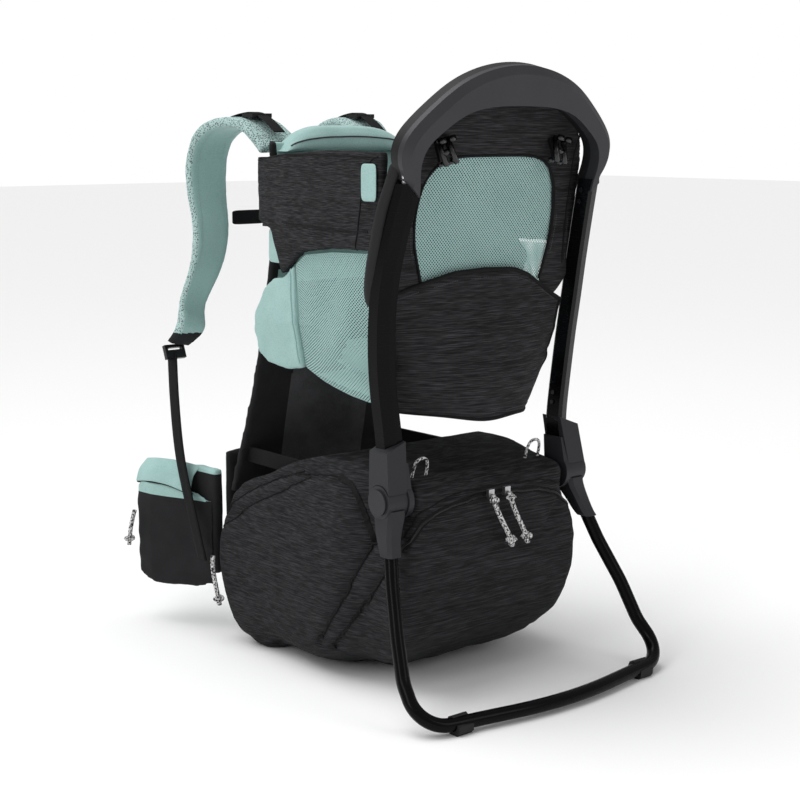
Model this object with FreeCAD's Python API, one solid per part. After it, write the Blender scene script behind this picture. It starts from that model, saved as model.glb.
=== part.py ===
"""Framed child carrier backpack, standing on its storage bag and its swing-out kickstand.

Millimetres.  X runs across the carrier (its right side is +X), the wearer's back is at +Y,
the kickstand is at -Y and Z is up.  The origin is on the ground, in the middle of the plan.
"""
import FreeCAD, Part
import math
import os

V = FreeCAD.Vector

# ---------------------------------------------------------------- driving dimensions
# section of the right frame leg round its centre line: outward, forward
LEG_SECTION = [(11, 9.5), (10, -4.5), (-2.5, -9.8), (-9.7, -10.8), (-10.7, 7), (-6.5, 11),
               (7, 12.5)]
LEG_HOLLOW = 0.8           # hollow of the leg, as a share of its section
# centre line of a frame leg: height, distance from the middle plane, Y
LEG_LINE = [(262, 126, -147), (300, 127.5, -146), (340, 133, -146), (380, 137, -148),
            (420, 139.5, -152.5), (460, 139.5, -159), (500, 137, -168.5), (530, 134, -177),
            (557, 131.5, -185)]
SCREW_LINE = [(545, 121.9, -181.5), (532, 123.1, -177.8), (312, 118.6, -146),
              (301, 117.0, -146)]

ARCH_LEAN = 13.0           # degrees that the handle arch leans back
ARCH_FOOT = V(0, -182, 560)
# half of the arch band in its own plane: inner edge (x, q), outer edge (x, q)
ARCH_BAND = [((124.5, -14), (140.5, 2)), ((127, 8), (145.5, 14)), ((127.5, 22), (149.5, 29)),
             ((123.5, 35), (146, 44)), ((112, 48), (132, 62)), ((96, 60), (112, 80)),
             ((77, 71), (88, 98)), ((52, 78), (59, 112)), ((26, 80.5), (30, 119.5)),
             ((0, 81), (0, 122))]
ARCH_REAR = 16.0           # rear face of the charcoal cover, from the arch's plane
ARCH_SEAM = 2.0            # where the cover meets the black front part
ARCH_FRONT = -9.5
ARCH_BEVEL = 8.0
ARCH_CORE_R = 5.5
ARCH_CORE_OUT = 3.5

HUB_Y = -155.0             # kickstand pivot
HUB_Z = 222.0
HUB_R = 20.0               # fixed flank on the inner side
HUB_IN = 114.0
EYE_R = 18.0               # turning eye on the outer side
EYE_IN = 121.4
EYE_OUT = 147.0
CAP_R = 14.0
SOCKET_GAP = 0.6
PIN_R = 4.0
PIN_CLEARANCE = 0.05

TUBE_R = 7.5
TUBE_WALL = 1.5
# kickstand tube, from the sleeve to the middle of the cross tube; the last figure is the bend
KICK_ROUTE = [((146.4, -174.3, 172), 0), ((154.6, -187.1, 140), 120),
              ((168.3, -212.1, 92), 200), ((176.1, -231.6, 50), 45), ((183.3, -267.1, 11), 34.5),
              ((0, -299, 11), 420)]
FOOT_X = 136.0
FOOT_Y = -275.4
FOOT_LENGTH = 20.0
# rubber foot round the tube: Y from its centre, height
FOOT_OUTLINE = [(-9.3, 4), (-6, 0), (6, 0), (9.3, 4), (10.4, 12), (8, 18), (3, 20.3),
                (0, 18.5), (0, 11), (-7, 12), (-9.9, 11)]

# back panel: height, Y of the plate, half-width
BACK_LINE = [(178, 157, 130), (215, 153, 124), (262, 143, 117), (314, 130, 113),
             (376, 119, 110), (436, 106, 108), (478, 98, 107), (540, 98, 106), (598, 105, 104)]
PLATE = 3.0
CHILD_PAD = 9.0            # padding on the child's side of the plate
WEARER_PAD = 12.0

# storage bag: height, rear Y, half-widths at the rear corner, beside the knuckle and at the
# side, front Y, half-width at the front corner
BAG_SECTIONS = [(0, -70, 62, 74, 108, 106, 136), (10, -98, 84, 98, 128, 120, 144),
                (30, -132, 112, 122, 148, 134, 154), (60, -160, 128, 133, 154, 145, 157),
                (100, -174, 135, 137, 157, 153, 159), (140, -182, 133, 136, 157, 148, 158),
                (165, -184, 128, 131, 154, 143, 154), (185, -184, 121, 122, 150, 139, 149),
                (200, -183, 112, 112, 145, 135, 143), (222, -182, 111, 111, 137, 131, 134),
                (238, -180, 108, 110, 128, 129, 124), (262, -174, 98, 102, 112, 124, 110)]
# top of the bag seen from the side: Y, height
BAG_ROOF = [(-200, 200), (-184, 219), (-176, 232), (-162, 239), (-140, 243), (-100, 248),
            (-60, 250), (-20, 249), (20, 238), (60, 220), (92, 207), (112, 198), (124, 184),
            (134, 160), (150, 110)]
BAG_WALL = 2.5
BAG_CORNER = 20.0

WALL = 4.0                 # bucket fabric and mesh
BAND = 11.0                # padded side band
REAR_T = 5.0               # rear panel
# rear panel: height, Y at the middle, Y at the sides
REAR_LINE = [(640, -190, -190), (610, -181, -178), (583, -172, -166), (550, -164, -160),
             (520, -158, -156), (488, -153, -153), (446, -151, -150)]
# lower rear flap: height, Y at the middle, Y at the sides, half-width
FLAP_LINE = [(444, -154, -149, 121), (430, -158, -149, 116), (413, -162, -150, 111),
             (392, -168, -151, 105), (362, -176, -152, 95), (335, -181, -153, 84),
             (318, -182, -154, 72), (303, -181, -154, 52)]
WINDOW_HALF = 100.0
WINDOW_LOW = 456.0
WINDOW_HIGH = 583.0

# shoulder strap centre line (left one, X is negative)
STRAP_LINE = [(-74, 123, 588), (-77, 150, 611), (-81, 178, 620), (-85, 212, 617), (-89, 243, 600),
              (-92, 254, 570), (-96, 247, 527), (-102, 232, 484), (-110, 236, 440),
              (-119, 252, 393), (-129, 271, 347)]
# its width at the same points
STRAP_WIDTHS = [58, 58, 58, 58, 58, 57, 54, 49, 43, 37, 30]
STRAP_THICK = 12.0
WEB_WIDTH = 20.0
WEB_THICK = 2.0
WEB_LINE = [(-172, 174, 96), (-158, 222, 205), (-133, 279, 334)]

# hip wing centre line in plan
WING_PLAN = [(-136, 171), (-139, 200), (-143, 228), (-151, 258), (-160, 287)]
WING_THICK = 13.0
POCKET_PLAN = [(-147, 180), (-156, 208), (-168, 236), (-179, 264), (-182, 292), (-172, 299)]

CORD_D = 5.5
LOOP_D = 3.4


# ---------------------------------------------------------------- shape helpers
def mirrored(shape):
    """The same piece on the other side of the carrier."""
    return shape.mirror(V(0, 0, 0), V(1, 0, 0))


def box(low, high):
    """A block from its lowest to its highest corner."""
    return Part.makeBox(high[0] - low[0], high[1] - low[1], high[2] - low[2], V(*low))


def ring(points):
    """Closed polygon wire."""
    return Part.makePolygon([V(*p) for p in points] + [V(*points[0])])


def prism(points, along):
    """Closed polygon pushed along a vector."""
    return Part.Face(ring(points)).extrude(V(*along))


def side_prism(outline, x_low, x_high):
    """Outline in (y, z) pushed from one X to another."""
    return prism([(x_low, y, z) for y, z in outline], (x_high - x_low, 0, 0))


def front_prism(outline, y_low, y_high):
    """Outline in (x, z) pushed from one Y to another."""
    return prism([(x, y_low, z) for x, z in outline], (0, y_high - y_low, 0))


def plan_prism(outline, z_low, z_high):
    """Outline in (x, y) pushed from one height to another."""
    return prism([(x, y, z_low) for x, y in outline], (0, 0, z_high - z_low))


def cylinder_x(x_low, x_high, y, z, radius):
    """A round bar along X."""
    return Part.makeCylinder(radius, x_high - x_low, V(x_low, y, z), V(1, 0, 0))


def loft(rings, ruled=False):
    """Solid through closed wires."""
    return Part.makeLoft(rings, True, ruled)


def thick_line(points, thickness):
    """Closed outline of a plane polyline with an even thickness."""
    left, right = [], []
    for i, (x, y) in enumerate(points):
        before = points[max(i - 1, 0)]
        after = points[min(i + 1, len(points) - 1)]
        dx, dy = after[0] - before[0], after[1] - before[1]
        length = math.hypot(dx, dy)
        nx, ny = -dy / length * thickness / 2, dx / length * thickness / 2
        left.append((x + nx, y + ny))
        right.append((x - nx, y - ny))
    return left + right[::-1]


def offset_line(points, distance):
    """A plane polyline moved sideways, to the left of its own direction."""
    return thick_line(points, 2 * distance)[:len(points)]


def bend_path(points, radii):
    """Straight runs joined by tangent arcs; radii[i] belongs to points[i]."""
    edges, start = [], points[0]
    for i in range(1, len(points) - 1):
        back = (points[i - 1] - points[i]).normalize()
        ahead = (points[i + 1] - points[i]).normalize()
        half = back.getAngle(ahead) / 2
        reach = radii[i] / math.tan(half)
        arc_in = points[i] + back * reach
        arc_out = points[i] + ahead * reach
        middle_way = (back + ahead).normalize()
        middle = points[i] + middle_way * (radii[i] / math.sin(half) - radii[i])
        edges.append(Part.LineSegment(start, arc_in).toShape())
        edges.append(Part.Arc(arc_in, middle, arc_out).toShape())
        start = arc_out
    edges.append(Part.LineSegment(start, points[-1]).toShape())
    return Part.Wire(edges)


def pipe(path, points, radius):
    """Round bar along a path."""
    along = points[1] - points[0]
    section = Part.Wire(Part.makeCircle(radius, points[0], along))
    return path.makePipeShell([section], True, False)


def cord(name, route, diameter):
    """A limp cord: straight runs joined by the largest arcs that they allow."""
    points = [V(*p) for p in route]
    radii = [0.0]
    for i in range(1, len(points) - 1):
        into, out = points[i] - points[i - 1], points[i + 1] - points[i]
        shorter = min(into.Length, out.Length)
        radii.append(0.45 * shorter / math.tan(into.getAngle(out) / 2))
    path = bend_path(points, radii + [0.0])
    tube = pipe(path, points, diameter / 2)
    expected = math.pi * (diameter / 2) ** 2 * path.Length
    print(name, "length %.1f" % path.Length, "radii", ["%.1f" % r for r in radii[1:]],
          "volume ratio %.3f" % (tube.Volume / expected))
    return tube


# ---------------------------------------------------------------- frame
def leg_ring(side, height, x, y, share):
    """Faceted section of a frame leg."""
    return ring([(side * (x + u * share), y + v * share, height) for u, v in LEG_SECTION])


def frame_leg(side):
    """Curved hollow aluminium leg."""
    outer = loft([leg_ring(side, z, x, y, 1) for z, x, y in LEG_LINE])
    inner = loft([leg_ring(side, z, x, y, LEG_HOLLOW) for z, x, y in LEG_LINE])
    return outer.cut(inner), outer


def arch_point(x, q, out):
    """Point of the arch: x across, q up its leaning plane, out to its rear."""
    lean = math.radians(ARCH_LEAN)
    up = V(0, -math.sin(lean), math.cos(lean))
    rear = V(0, -math.cos(lean), -math.sin(lean))
    return ARCH_FOOT + V(x, 0, 0) + up * q + rear * out


def arch_stations():
    """Inner and outer edge pairs from the left foot, over the top, to the right foot."""
    left = [((-i[0], i[1]), (-o[0], o[1])) for i, o in ARCH_BAND]
    return left + ARCH_BAND[:-1][::-1]


def arch_shell(low, high, bevel):
    """Loft of the arch band between two distances from its plane, bevelled at the rear."""
    rings = []
    for inner, outer in arch_stations():
        wide = math.hypot(outer[0] - inner[0], outer[1] - inner[1])
        section = []
        for share, out in [(0, low), (1, low), (1, high - bevel * 0.9),
                           (1 - bevel / wide, high), (0, high)]:
            x = inner[0] + (outer[0] - inner[0]) * share
            q = inner[1] + (outer[1] - inner[1]) * share
            section.append(tuple(arch_point(x, q, out)))
        rings.append(ring(section))
    return loft(rings)


def arch_core_bar(radius):
    """Round aluminium core through the middle of the arch band."""
    points = [arch_point((i[0] + o[0]) / 2, (i[1] + o[1]) / 2, ARCH_CORE_OUT)
              for i, o in arch_stations()]
    curve = Part.BSplineCurve()
    curve.interpolate(points)
    return pipe(Part.Wire(curve.toShape()), points, radius)


def hub_housing(leg_solid):
    """Left knuckle: a socket for the leg and an inner flank that carries the pin."""
    low = [(-EYE_OUT, -172), (-EYE_OUT, -138), (-EYE_IN, -138), (-EYE_IN, -172)]
    high = [(-140, -159.5), (-140, -131.5), (-114, -131.5), (-114, -159.5)]
    socket = loft([ring([(x, y, z) for x, y in outline])
                   for outline, z in ((low, 226), (high, 296))], True)
    flank = cylinder_x(-EYE_IN + SOCKET_GAP, -HUB_IN, HUB_Y, HUB_Z, HUB_R)
    neck = side_prism([(-172, 226), (-138, 226), (-136, 262), (-164, 262)],
                      -EYE_IN + SOCKET_GAP, -HUB_IN)
    slant = front_prism([(-160, 268), (-108, 288), (-108, 310), (-160, 310)], -190, -110)
    eye_room = cylinder_x(-EYE_OUT - 1, -EYE_IN + SOCKET_GAP, HUB_Y, HUB_Z, EYE_R + SOCKET_GAP)
    pin_hole = cylinder_x(-170, -100, HUB_Y, HUB_Z, PIN_R)
    shape = socket.cut(eye_room).fuse(flank).fuse(neck)
    return shape.cut(slant).cut(leg_solid).cut(pin_hole).removeSplitter()


# lower knuckle: height, X, Y, half-width, half-depth
SLEEVE_LINE = [(214, 134.2, -157, 12.2, 16), (206, 134.8, -158.5, 12, 15.5),
               (196, 138.2, -161.5, 11, 14), (184, 142.3, -166.5, 10, 12),
               (168, 147.4, -175.6, 9, 9.8)]


def kick_sleeve(tube_solid):
    """Left lower knuckle: an eye on the pin and an S-shaped sleeve for the tube."""
    eye = cylinder_x(-EYE_OUT, -EYE_IN, HUB_Y, HUB_Z, EYE_R)
    rings = []
    for z, x, y, half_x, half_y in SLEEVE_LINE:
        c = 0.38 * half_x
        corners = [(half_x, -half_y + c), (half_x, half_y - c), (half_x - c, half_y),
                   (-half_x + c, half_y), (-half_x, half_y - c), (-half_x, -half_y + c),
                   (-half_x + c, -half_y), (half_x - c, -half_y)]
        rings.append(ring([(-x + u, y + v, z) for u, v in corners]))
    shape = loft(rings).fuse(eye)
    pin_hole = cylinder_x(-170, -100, HUB_Y, HUB_Z, PIN_R + PIN_CLEARANCE)
    return shape.cut(pin_hole).cut(tube_solid).removeSplitter()


def kickstand_points():
    """Left half of the tube's route, then the mirrored right half."""
    left = [(V(-p[0], p[1], p[2]), r) for p, r in KICK_ROUTE]
    right = [(V(*p), r) for p, r in KICK_ROUTE[:-1][::-1]]
    return [p for p, r in left + right], [r for p, r in left + right]


def kickstand():
    """Hollow tube and its outer solid."""
    points, radii = kickstand_points()
    path = bend_path(points, radii)
    outer = pipe(path, points, TUBE_R)
    return outer.cut(pipe(path, points, TUBE_R - TUBE_WALL)), outer


def kick_feet(tube_solid):
    """Two rubber clamps under the cross tube."""
    feet = []
    outline = [(FOOT_Y + y, z) for y, z in FOOT_OUTLINE]
    for side in (-1, 1):
        low, high = side * FOOT_X - FOOT_LENGTH / 2, side * FOOT_X + FOOT_LENGTH / 2
        feet.append(side_prism(outline, low, high).cut(tube_solid))
    return Part.makeCompound(feet)


def leg_screws():
    """Screw heads on the inner faces of the legs."""
    heads = []
    for side in (-1, 1):
        for z, x, y in SCREW_LINE:
            low = side * x - (1.4 if side > 0 else 0)
            heads.append(cylinder_x(low, low + 1.4, y, z, 2.6))
    return Part.makeCompound(heads)


# ---------------------------------------------------------------- back panel
def back_slab(near, far, inset):
    """Slab of the back panel between two distances in front of the plate's rear face."""
    line = [(y, z) for z, y, w in BACK_LINE]
    outline = [(y + near, z) for y, z in line] + [(y + far, z) for y, z in line[::-1]]
    shape = side_prism(outline, -160, 160)
    edge = [(w - inset, z) for z, y, w in BACK_LINE]
    front = edge + [(-x, z) for x, z in edge[::-1]]
    return shape.common(front_prism(front, 50, 220))


def back_parts():
    """Plate, child-side cover, wearer-side mesh pad and lumbar pad."""
    plate = back_slab(0, PLATE, 6)
    cover = back_slab(-CHILD_PAD, -0.05, 0)
    pad = back_slab(PLATE + 0.1, PLATE + WEARER_PAD, 4)
    pad = pad.common(box((-75, 50, 232), (75, 220, 540)))
    outline = [(x, y) for x, y in [(-129, 163), (-129, 171), (-70, 180), (0, 183),
                                   (70, 180), (129, 171), (129, 163)]]
    lumbar = plan_prism(outline, 72, 226)
    lumbar = lumbar.cut(back_slab(-40, PLATE + 0.3, -30))
    return plate, cover, pad, lumbar


# ---------------------------------------------------------------- storage bag
def bag_ring(section, shrink):
    """Plan section of the bag: round corners, sides narrow beside the knuckles."""
    z, rear, rear_half, hub_half, side_half, front, front_half = section
    r, h, s, f = (half - shrink for half in (rear_half, hub_half, side_half, front_half))
    back, ahead, k = rear + shrink, front - shrink, BAG_CORNER - shrink
    reach = min(1.0, (ahead - back) / 300)
    side = [(r, back + k), (h, back + 58 * reach), (s - 5, back + 92 * reach),
            (s, back + 130 * reach), (s, ahead - 90 * reach), (f, ahead - k)]
    bend = k * (1 - math.sqrt(0.5))
    right = Part.BSplineCurve()
    right.interpolate([V(x, y, z) for x, y in side], InitialTangent=V(0, 1, 0),
                      FinalTangent=V(0, 1, 0))
    left = Part.BSplineCurve()
    left.interpolate([V(-x, y, z) for x, y in side[::-1]], InitialTangent=V(0, -1, 0),
                     FinalTangent=V(0, -1, 0))
    corners = [[(r - k, back), (r - bend, back + bend), (r, back + k)],
               [(f, ahead - k), (f - bend, ahead - bend), (f - k, ahead)]]
    corners += [[(-x, y) for x, y in corner[::-1]] for corner in corners[::-1]]
    arcs = [Part.Arc(*[V(x, y, z) for x, y in corner]).toShape() for corner in corners]
    lines = [Part.LineSegment(V(x, y, z), V(-x, y, z)).toShape()
             for x, y in ((f - k, ahead), (k - r, back))]
    return Part.Wire([arcs[0], right.toShape(), arcs[1], lines[0], arcs[2], left.toShape(),
                      arcs[3], lines[1]])


def bag_solid(shrink):
    """Body of the bag under its sloping top, with every face moved in by shrink."""
    sections = list(BAG_SECTIONS)
    low = sections[0]
    sections[0] = (low[0] + shrink,) + low[1:]
    roof = offset_line(BAG_ROOF, -shrink) if shrink else BAG_ROOF
    outline = roof + [(roof[-1][0], -10), (roof[0][0], -10)]
    return loft([bag_ring(s, shrink) for s in sections]).common(side_prism(outline, -190, 190))


def storage_bag(struts):
    """Closed shell of the zipped bag, with a slot for each lower strut."""
    return bag_solid(0).cut(bag_solid(BAG_WALL)).cut(struts)


def lower_struts(grow=0.0):
    """Flat bars from the knuckles to the back plate, through the bag's top corners."""
    bars = []
    for side in (-1, 1):
        plan = [(side * 111.5, -158), (side * 110.5, -60), (side * 110.0, 60), (side * 109.0, 149)]
        bars.append(plan_prism(thick_line(plan, 4 + 2 * grow), 214 - grow, 232 + grow))
    return bars


# ---------------------------------------------------------------- child cockpit
# plan lines of the left cockpit wall at three heights, from the frame leg to the back panel
WALL_PLANS = {300: [(-74, -152), (-92, -126), (-104, -88), (-110, -38), (-110, 20), (-112, 112)],
              395: [(-103, -151), (-118, -120), (-127, -82), (-129, -34), (-128, 20), (-121, 112)],
              490: [(-134, -152), (-136, -95), (-136.5, -40), (-133, 20), (-125, 66),
                    (-115.5, 101)]}
WALL_TOP = 490


def side_plan(side, height=WALL_TOP):
    """Plan line of a cockpit wall on one side."""
    return [(side * -x, y) for x, y in WALL_PLANS[height]]


def side_wall(side, thickness, outline):
    """Cockpit wall of even thickness, cut to an outline in (y, z)."""
    levels = [(height, side_plan(side, height)) for height in sorted(WALL_PLANS)]
    levels.append((630, side_plan(side)))
    rings = [ring([(x, y, z) for x, y in thick_line(plan, thickness)]) for z, plan in levels]
    return loft(rings, True).common(side_prism(outline, -190, 190))


BAND_OUTLINE = [(101, 509), (78, 503), (62, 499), (41, 450), (-6, 478), (-60, 484), (-150, 486),
                (-150, 601), (-60, 603), (30, 597), (101, 588)]
MESH_OUTLINE = [(-150, 483), (-60, 480.5), (-6, 474.5), (14, 462), (12, 400), (14, 345),
                (-15, 333), (-60, 321), (-150, 306)]
CUFF_OUTLINE = [(14.4, 461), (41, 446), (62, 444), (87, 430), (103, 406), (109, 380),
                (103, 355), (88, 343), (50, 339), (14.4, 344)]


def upper_struts():
    """Flat bars inside the side bands, from the legs to the back plate."""
    bars = []
    for side in (-1, 1):
        plan = side_plan(side)
        plan = [(side * 135.5, -152)] + plan[1:-1] + [(side * 113.5, 97), (side * 103.5, 99.5)]
        bars.append(plan_prism(thick_line(plan, 3), 532, 548))
    return bars


def rear_sheet(line, thickness, half_of, edge_y):
    """Sheet bowed to the rear between the legs: a loft of bowed strips up the height."""
    rings = []
    for z, y_middle, y_side in line:
        half = half_of(z)
        front, back = [], []
        for i in range(-6, 7):
            u = i / 6
            y = y_side + (y_middle - y_side) * (1 - u * u) + edge_y
            front.append((half * u, y + thickness / 2, z))
            back.append((half * u, y - thickness / 2, z))
        rings.append(ring(front + back[::-1]))
    return loft(rings, True)


def rear_panel(arch_solids, leg_solids):
    """Upper rear panel with an opening for the mesh, carved clear of arch and legs."""
    sheet = rear_sheet(REAR_LINE, REAR_T, lambda z: 136, 0)
    edge = [(133, 459), (134, 500), (135, 560), (134, 578), (129, 594), (116, 611), (98, 625),
            (66, 637), (30, 640)]
    outline = edge + [(-x, z) for x, z in edge[::-1]]
    sheet = sheet.common(front_prism(outline, -260, -100))
    for solid in arch_solids + leg_solids:
        sheet = sheet.cut(solid)
    return max(sheet.Solids, key=lambda s: s.Volume)


def window_outline(gap):
    """Arched mesh window in (x, z)."""
    half = WINDOW_HALF + gap
    low, high = WINDOW_LOW - gap, WINDOW_HIGH + gap
    top = [(half, 520), (half * 0.96, 550), (half * 0.86, 568), (half * 0.72, 578),
           (half * 0.5, high)]
    bottom = [(0, low + 1), (half * 0.5, low - 1), (half * 0.93, low - 7), (half * 0.98, 470)]
    right = bottom + top
    left = [(-x, z) for x, z in right[::-1] if x > 0]
    return right + left


def rear_flap():
    """Lower rear flap that carries the bucket's back."""
    widths = {z: w for z, a, b, w in FLAP_LINE}
    line = [(z, a, b) for z, a, b, w in FLAP_LINE]
    return rear_sheet(line, REAR_T, lambda z: widths[z], 0)


def canopy_clips():
    """Two small clips for a sun canopy, each a frame with a cross bar."""
    clips = []
    for side in (-1, 1):
        x, y, z = side * 82, -182.6, 589
        frame = box((x - 11, y - 4, z - 12), (x + 11, y, z + 12))
        for dx in (-5.0, 5.0):
            frame = frame.cut(box((x + dx - 3, y - 5, z + 3), (x + dx + 3, y + 1, z + 13)))
            frame = frame.cut(box((x + dx - 3, y - 5, z - 13), (x + dx + 3, y + 1, z - 3)))
        clips.append(frame.rotate(V(x, y, z), V(1, 0, 0), -19))
    return Part.makeCompound(clips)


def collar_pad():
    """Padded roll on the top edge of the back panel."""
    outline = [(78, 601), (82, 611), (91, 618), (104, 619), (113, 612), (117.5, 603),
               (115, 598.3), (84, 598.3)]
    return side_prism(outline, -104, 104)


def bucket_floor():
    """Floor of the seat bucket."""
    outline = [(-170, 321), (-110, 318), (-40, 328), (40, 342), (40, 346), (-40, 332),
               (-110, 322), (-170, 325)]
    slab = side_prism(outline, -112, 112)
    plan = [(-48, -170), (-100, -140), (-112, -60), (-112, 0), (-62, 8), (-58, 40), (58, 40),
            (62, 8), (112, 0), (112, -60), (100, -140), (48, -170)]
    return slab.common(plan_prism(plan, 300, 360))


def seat_pad():
    """Saddle that the child sits on; it slides up inside the bucket."""
    outline = [(-118, 350), (-100, 341), (-40, 347), (30, 358), (36, 364), (30, 370),
               (-40, 364), (-112, 360)]
    slab = side_prism(outline, -96, 96)
    plan = [(-88, -118), (-94, -60), (-84, -8), (-52, 6), (-46, 36), (46, 36), (52, 6),
            (84, -8), (94, -60), (88, -118)]
    return slab.common(plan_prism(plan, 330, 380))


def child_harness():
    """Two padded shoulder straps hanging in front of the rear panel."""
    pads = []
    outline = [(-149, 575), (-141, 575), (-131, 520), (-128, 430), (-135, 430), (-139, 520)]
    for side in (-1, 1):
        low, high = sorted((side * 30, side * 66))
        pads.append(side_prism(outline, low, high))
    return Part.makeCompound(pads)


def child_buckle():
    """Buckle body on the saddle with a well for its button."""
    body = box((-21, -32, 366.5), (21, 6, 378))
    return body.cut(box((-9.3, -22.3, 372), (9.3, -3.7, 379))).cut(seat_pad())


def buckle_button():
    """Push button in the buckle."""
    return box((-9, -22, 375.5), (9, -4, 380))


# ---------------------------------------------------------------- wearer's harness
def strip(line, widths, thickness, across_way=(1, 0, 0)):
    """Flat band along a 3-D line; its width lies nearest to across_way."""
    rings = []
    for i, (p, width) in enumerate(zip(line, widths)):
        before, after = V(*line[max(i - 1, 0)]), V(*line[min(i + 1, len(line) - 1)])
        along = (after - before).normalize()
        across = V(*across_way)
        across = (across - along * across.dot(along)).normalize()
        out = along.cross(across)
        centre = V(*p)
        corners = [centre + across * (a * width / 2) + out * (b * thickness / 2)
                   for a, b in [(-1, -0.5), (-0.88, -1), (0.88, -1), (1, -0.5),
                                (1, 0.5), (0.88, 1), (-0.88, 1), (-1, 0.5)]]
        rings.append(ring([tuple(c) for c in corners]))
    return loft(rings)


def harness_yoke():
    """Pad between the shoulder straps, on the torso-length rail."""
    return box((-52, 118.2, 545), (52, 127, 604)).fuse(box((-104, 119.2, 548), (104, 127, 580)))


def ladder_locks():
    """Ladder locks: load lifters at the top and strap ends at the bottom."""
    locks = []
    for side in (-1, 1):
        x, y, z = side * 78, 163, 627.5
        lifter = box((x - 14, y - 11, z - 2.2), (x + 14, y + 11, z + 2.8))
        lifter = lifter.cut(box((x - 10, y - 7, z - 4), (x + 10, y - 3, z + 5)))
        lifter = lifter.cut(box((x - 10, y + 3, z - 4), (x + 10, y + 7, z + 5)))
        locks.append(lifter)
        x, y, z = side * 131.5, 276.2, 338
        end = box((x - 14, y - 3, z - 11), (x + 14, y + 3, z + 7))
        end = end.cut(box((x - 10, y - 5, z + 0), (x + 10, y + 5, z + 3)))
        locks.append(end.rotate(V(x, y, z), V(1, 0, 0), -22))
    return Part.makeCompound(locks)


def sternum_parts():
    """Chest strap and its side-release buckle, between the two shoulder straps."""
    webbing = []
    for side in (-1, 1):
        low, high = sorted((side * 17.2, side * 66))
        webbing.append(box((low, 238.5, 494), (high, 240.5, 512)))
    strap = Part.makeCompound(webbing)
    plan = [(-17, 235), (17, 235), (17, 243.5), (-17, 243.5)]
    buckle = plan_prism(plan, 490.5, 515.5)
    return strap, buckle


def lower_webbing(side):
    """Webbing from the strap end down to the side of the hip belt."""
    line = [(-side * x, y, z) for x, y, z in WEB_LINE]
    return strip(line, [WEB_WIDTH] * len(line), WEB_THICK, (0.3 * side, 1, 0))


# ---------------------------------------------------------------- hip belt
def hip_wing():
    """Left foam wing of the hip belt."""
    wing = plan_prism(thick_line(WING_PLAN, WING_THICK), 60, 205)
    outline = [(160, 74), (205, 66), (255, 60), (292, 72), (300, 100), (300, 150), (288, 182),
               (255, 196), (205, 204), (160, 203)]
    return wing.common(side_prism(outline, -220, -100))


def hip_pocket():
    """Left zipped pocket on the outside of the wing."""
    inner = offset_line(WING_PLAN, WING_THICK / 2 + 0.1)
    plan = inner + POCKET_PLAN[::-1]
    pocket = plan_prism(plan, 46, 200)
    outline = [(165, 60), (205, 50), (262, 46), (292, 56), (300, 80), (300, 165), (284, 178),
               (240, 176), (205, 172), (165, 160)]
    return pocket.common(side_prism(outline, -220, -100))


def hip_buckle(side):
    """Buckle half on the end of each hip wing."""
    x, y, z = -157.5, 290, 126
    body = box((x - 6, y + 1.5, z - 22), (x + 6, y + 9.5, z + 22))
    return body if side < 0 else mirrored(body)


# ---------------------------------------------------------------- zips and cords
ZIP_Y = -185.6
ZIP_Z = 219.0


def zip_slider(x):
    """Zip slider with its ring, standing just clear of the bag."""
    body = box((x - 4, ZIP_Y - 4.5, ZIP_Z - 5), (x + 4, ZIP_Y, ZIP_Z + 5))
    return body.cut(box((x - 2, ZIP_Y - 5, ZIP_Z - 3), (x + 2, ZIP_Y - 2.5, ZIP_Z)))


ZIP_CORD_LEFT = [(-17, -192.9, 218), (-15.6, -193.9, 209), (-10, -194.5, 196), (-1, -194.5, 181),
                 (7.5, -194.1, 168), (12, -193.5, 157)]
ZIP_CORD_RIGHT = [(7, -192.9, 218), (8.8, -194.1, 209), (14, -194.9, 196), (23, -194.5, 181),
                  (31.5, -193.7, 168), (36, -192.7, 157)]
SIDE_CORD = [(-165.2, 142.4, 105), (-166.4, 142, 97), (-166.4, 140.4, 86), (-165.6, 137.6, 72),
             (-164.8, 134, 58), (-164.2, 131, 46)]
HIP_CORD = [(-188.4, 286, 139), (-190.8, 286.6, 131), (-192.8, 288.6, 119), (-194, 290.4, 106),
            (-195, 291.2, 94)]
LOOP_ROUTE = [(-94, -146, 240), (-94.5, -149.5, 252), (-90, -152, 261.5), (-78.5, -152, 261.5),
              (-74, -149.5, 252), (-74.5, -146, 240)]


def flipped(route):
    """A route on the other side of the carrier."""
    return [(-x, y, z) for x, y, z in route]


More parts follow.
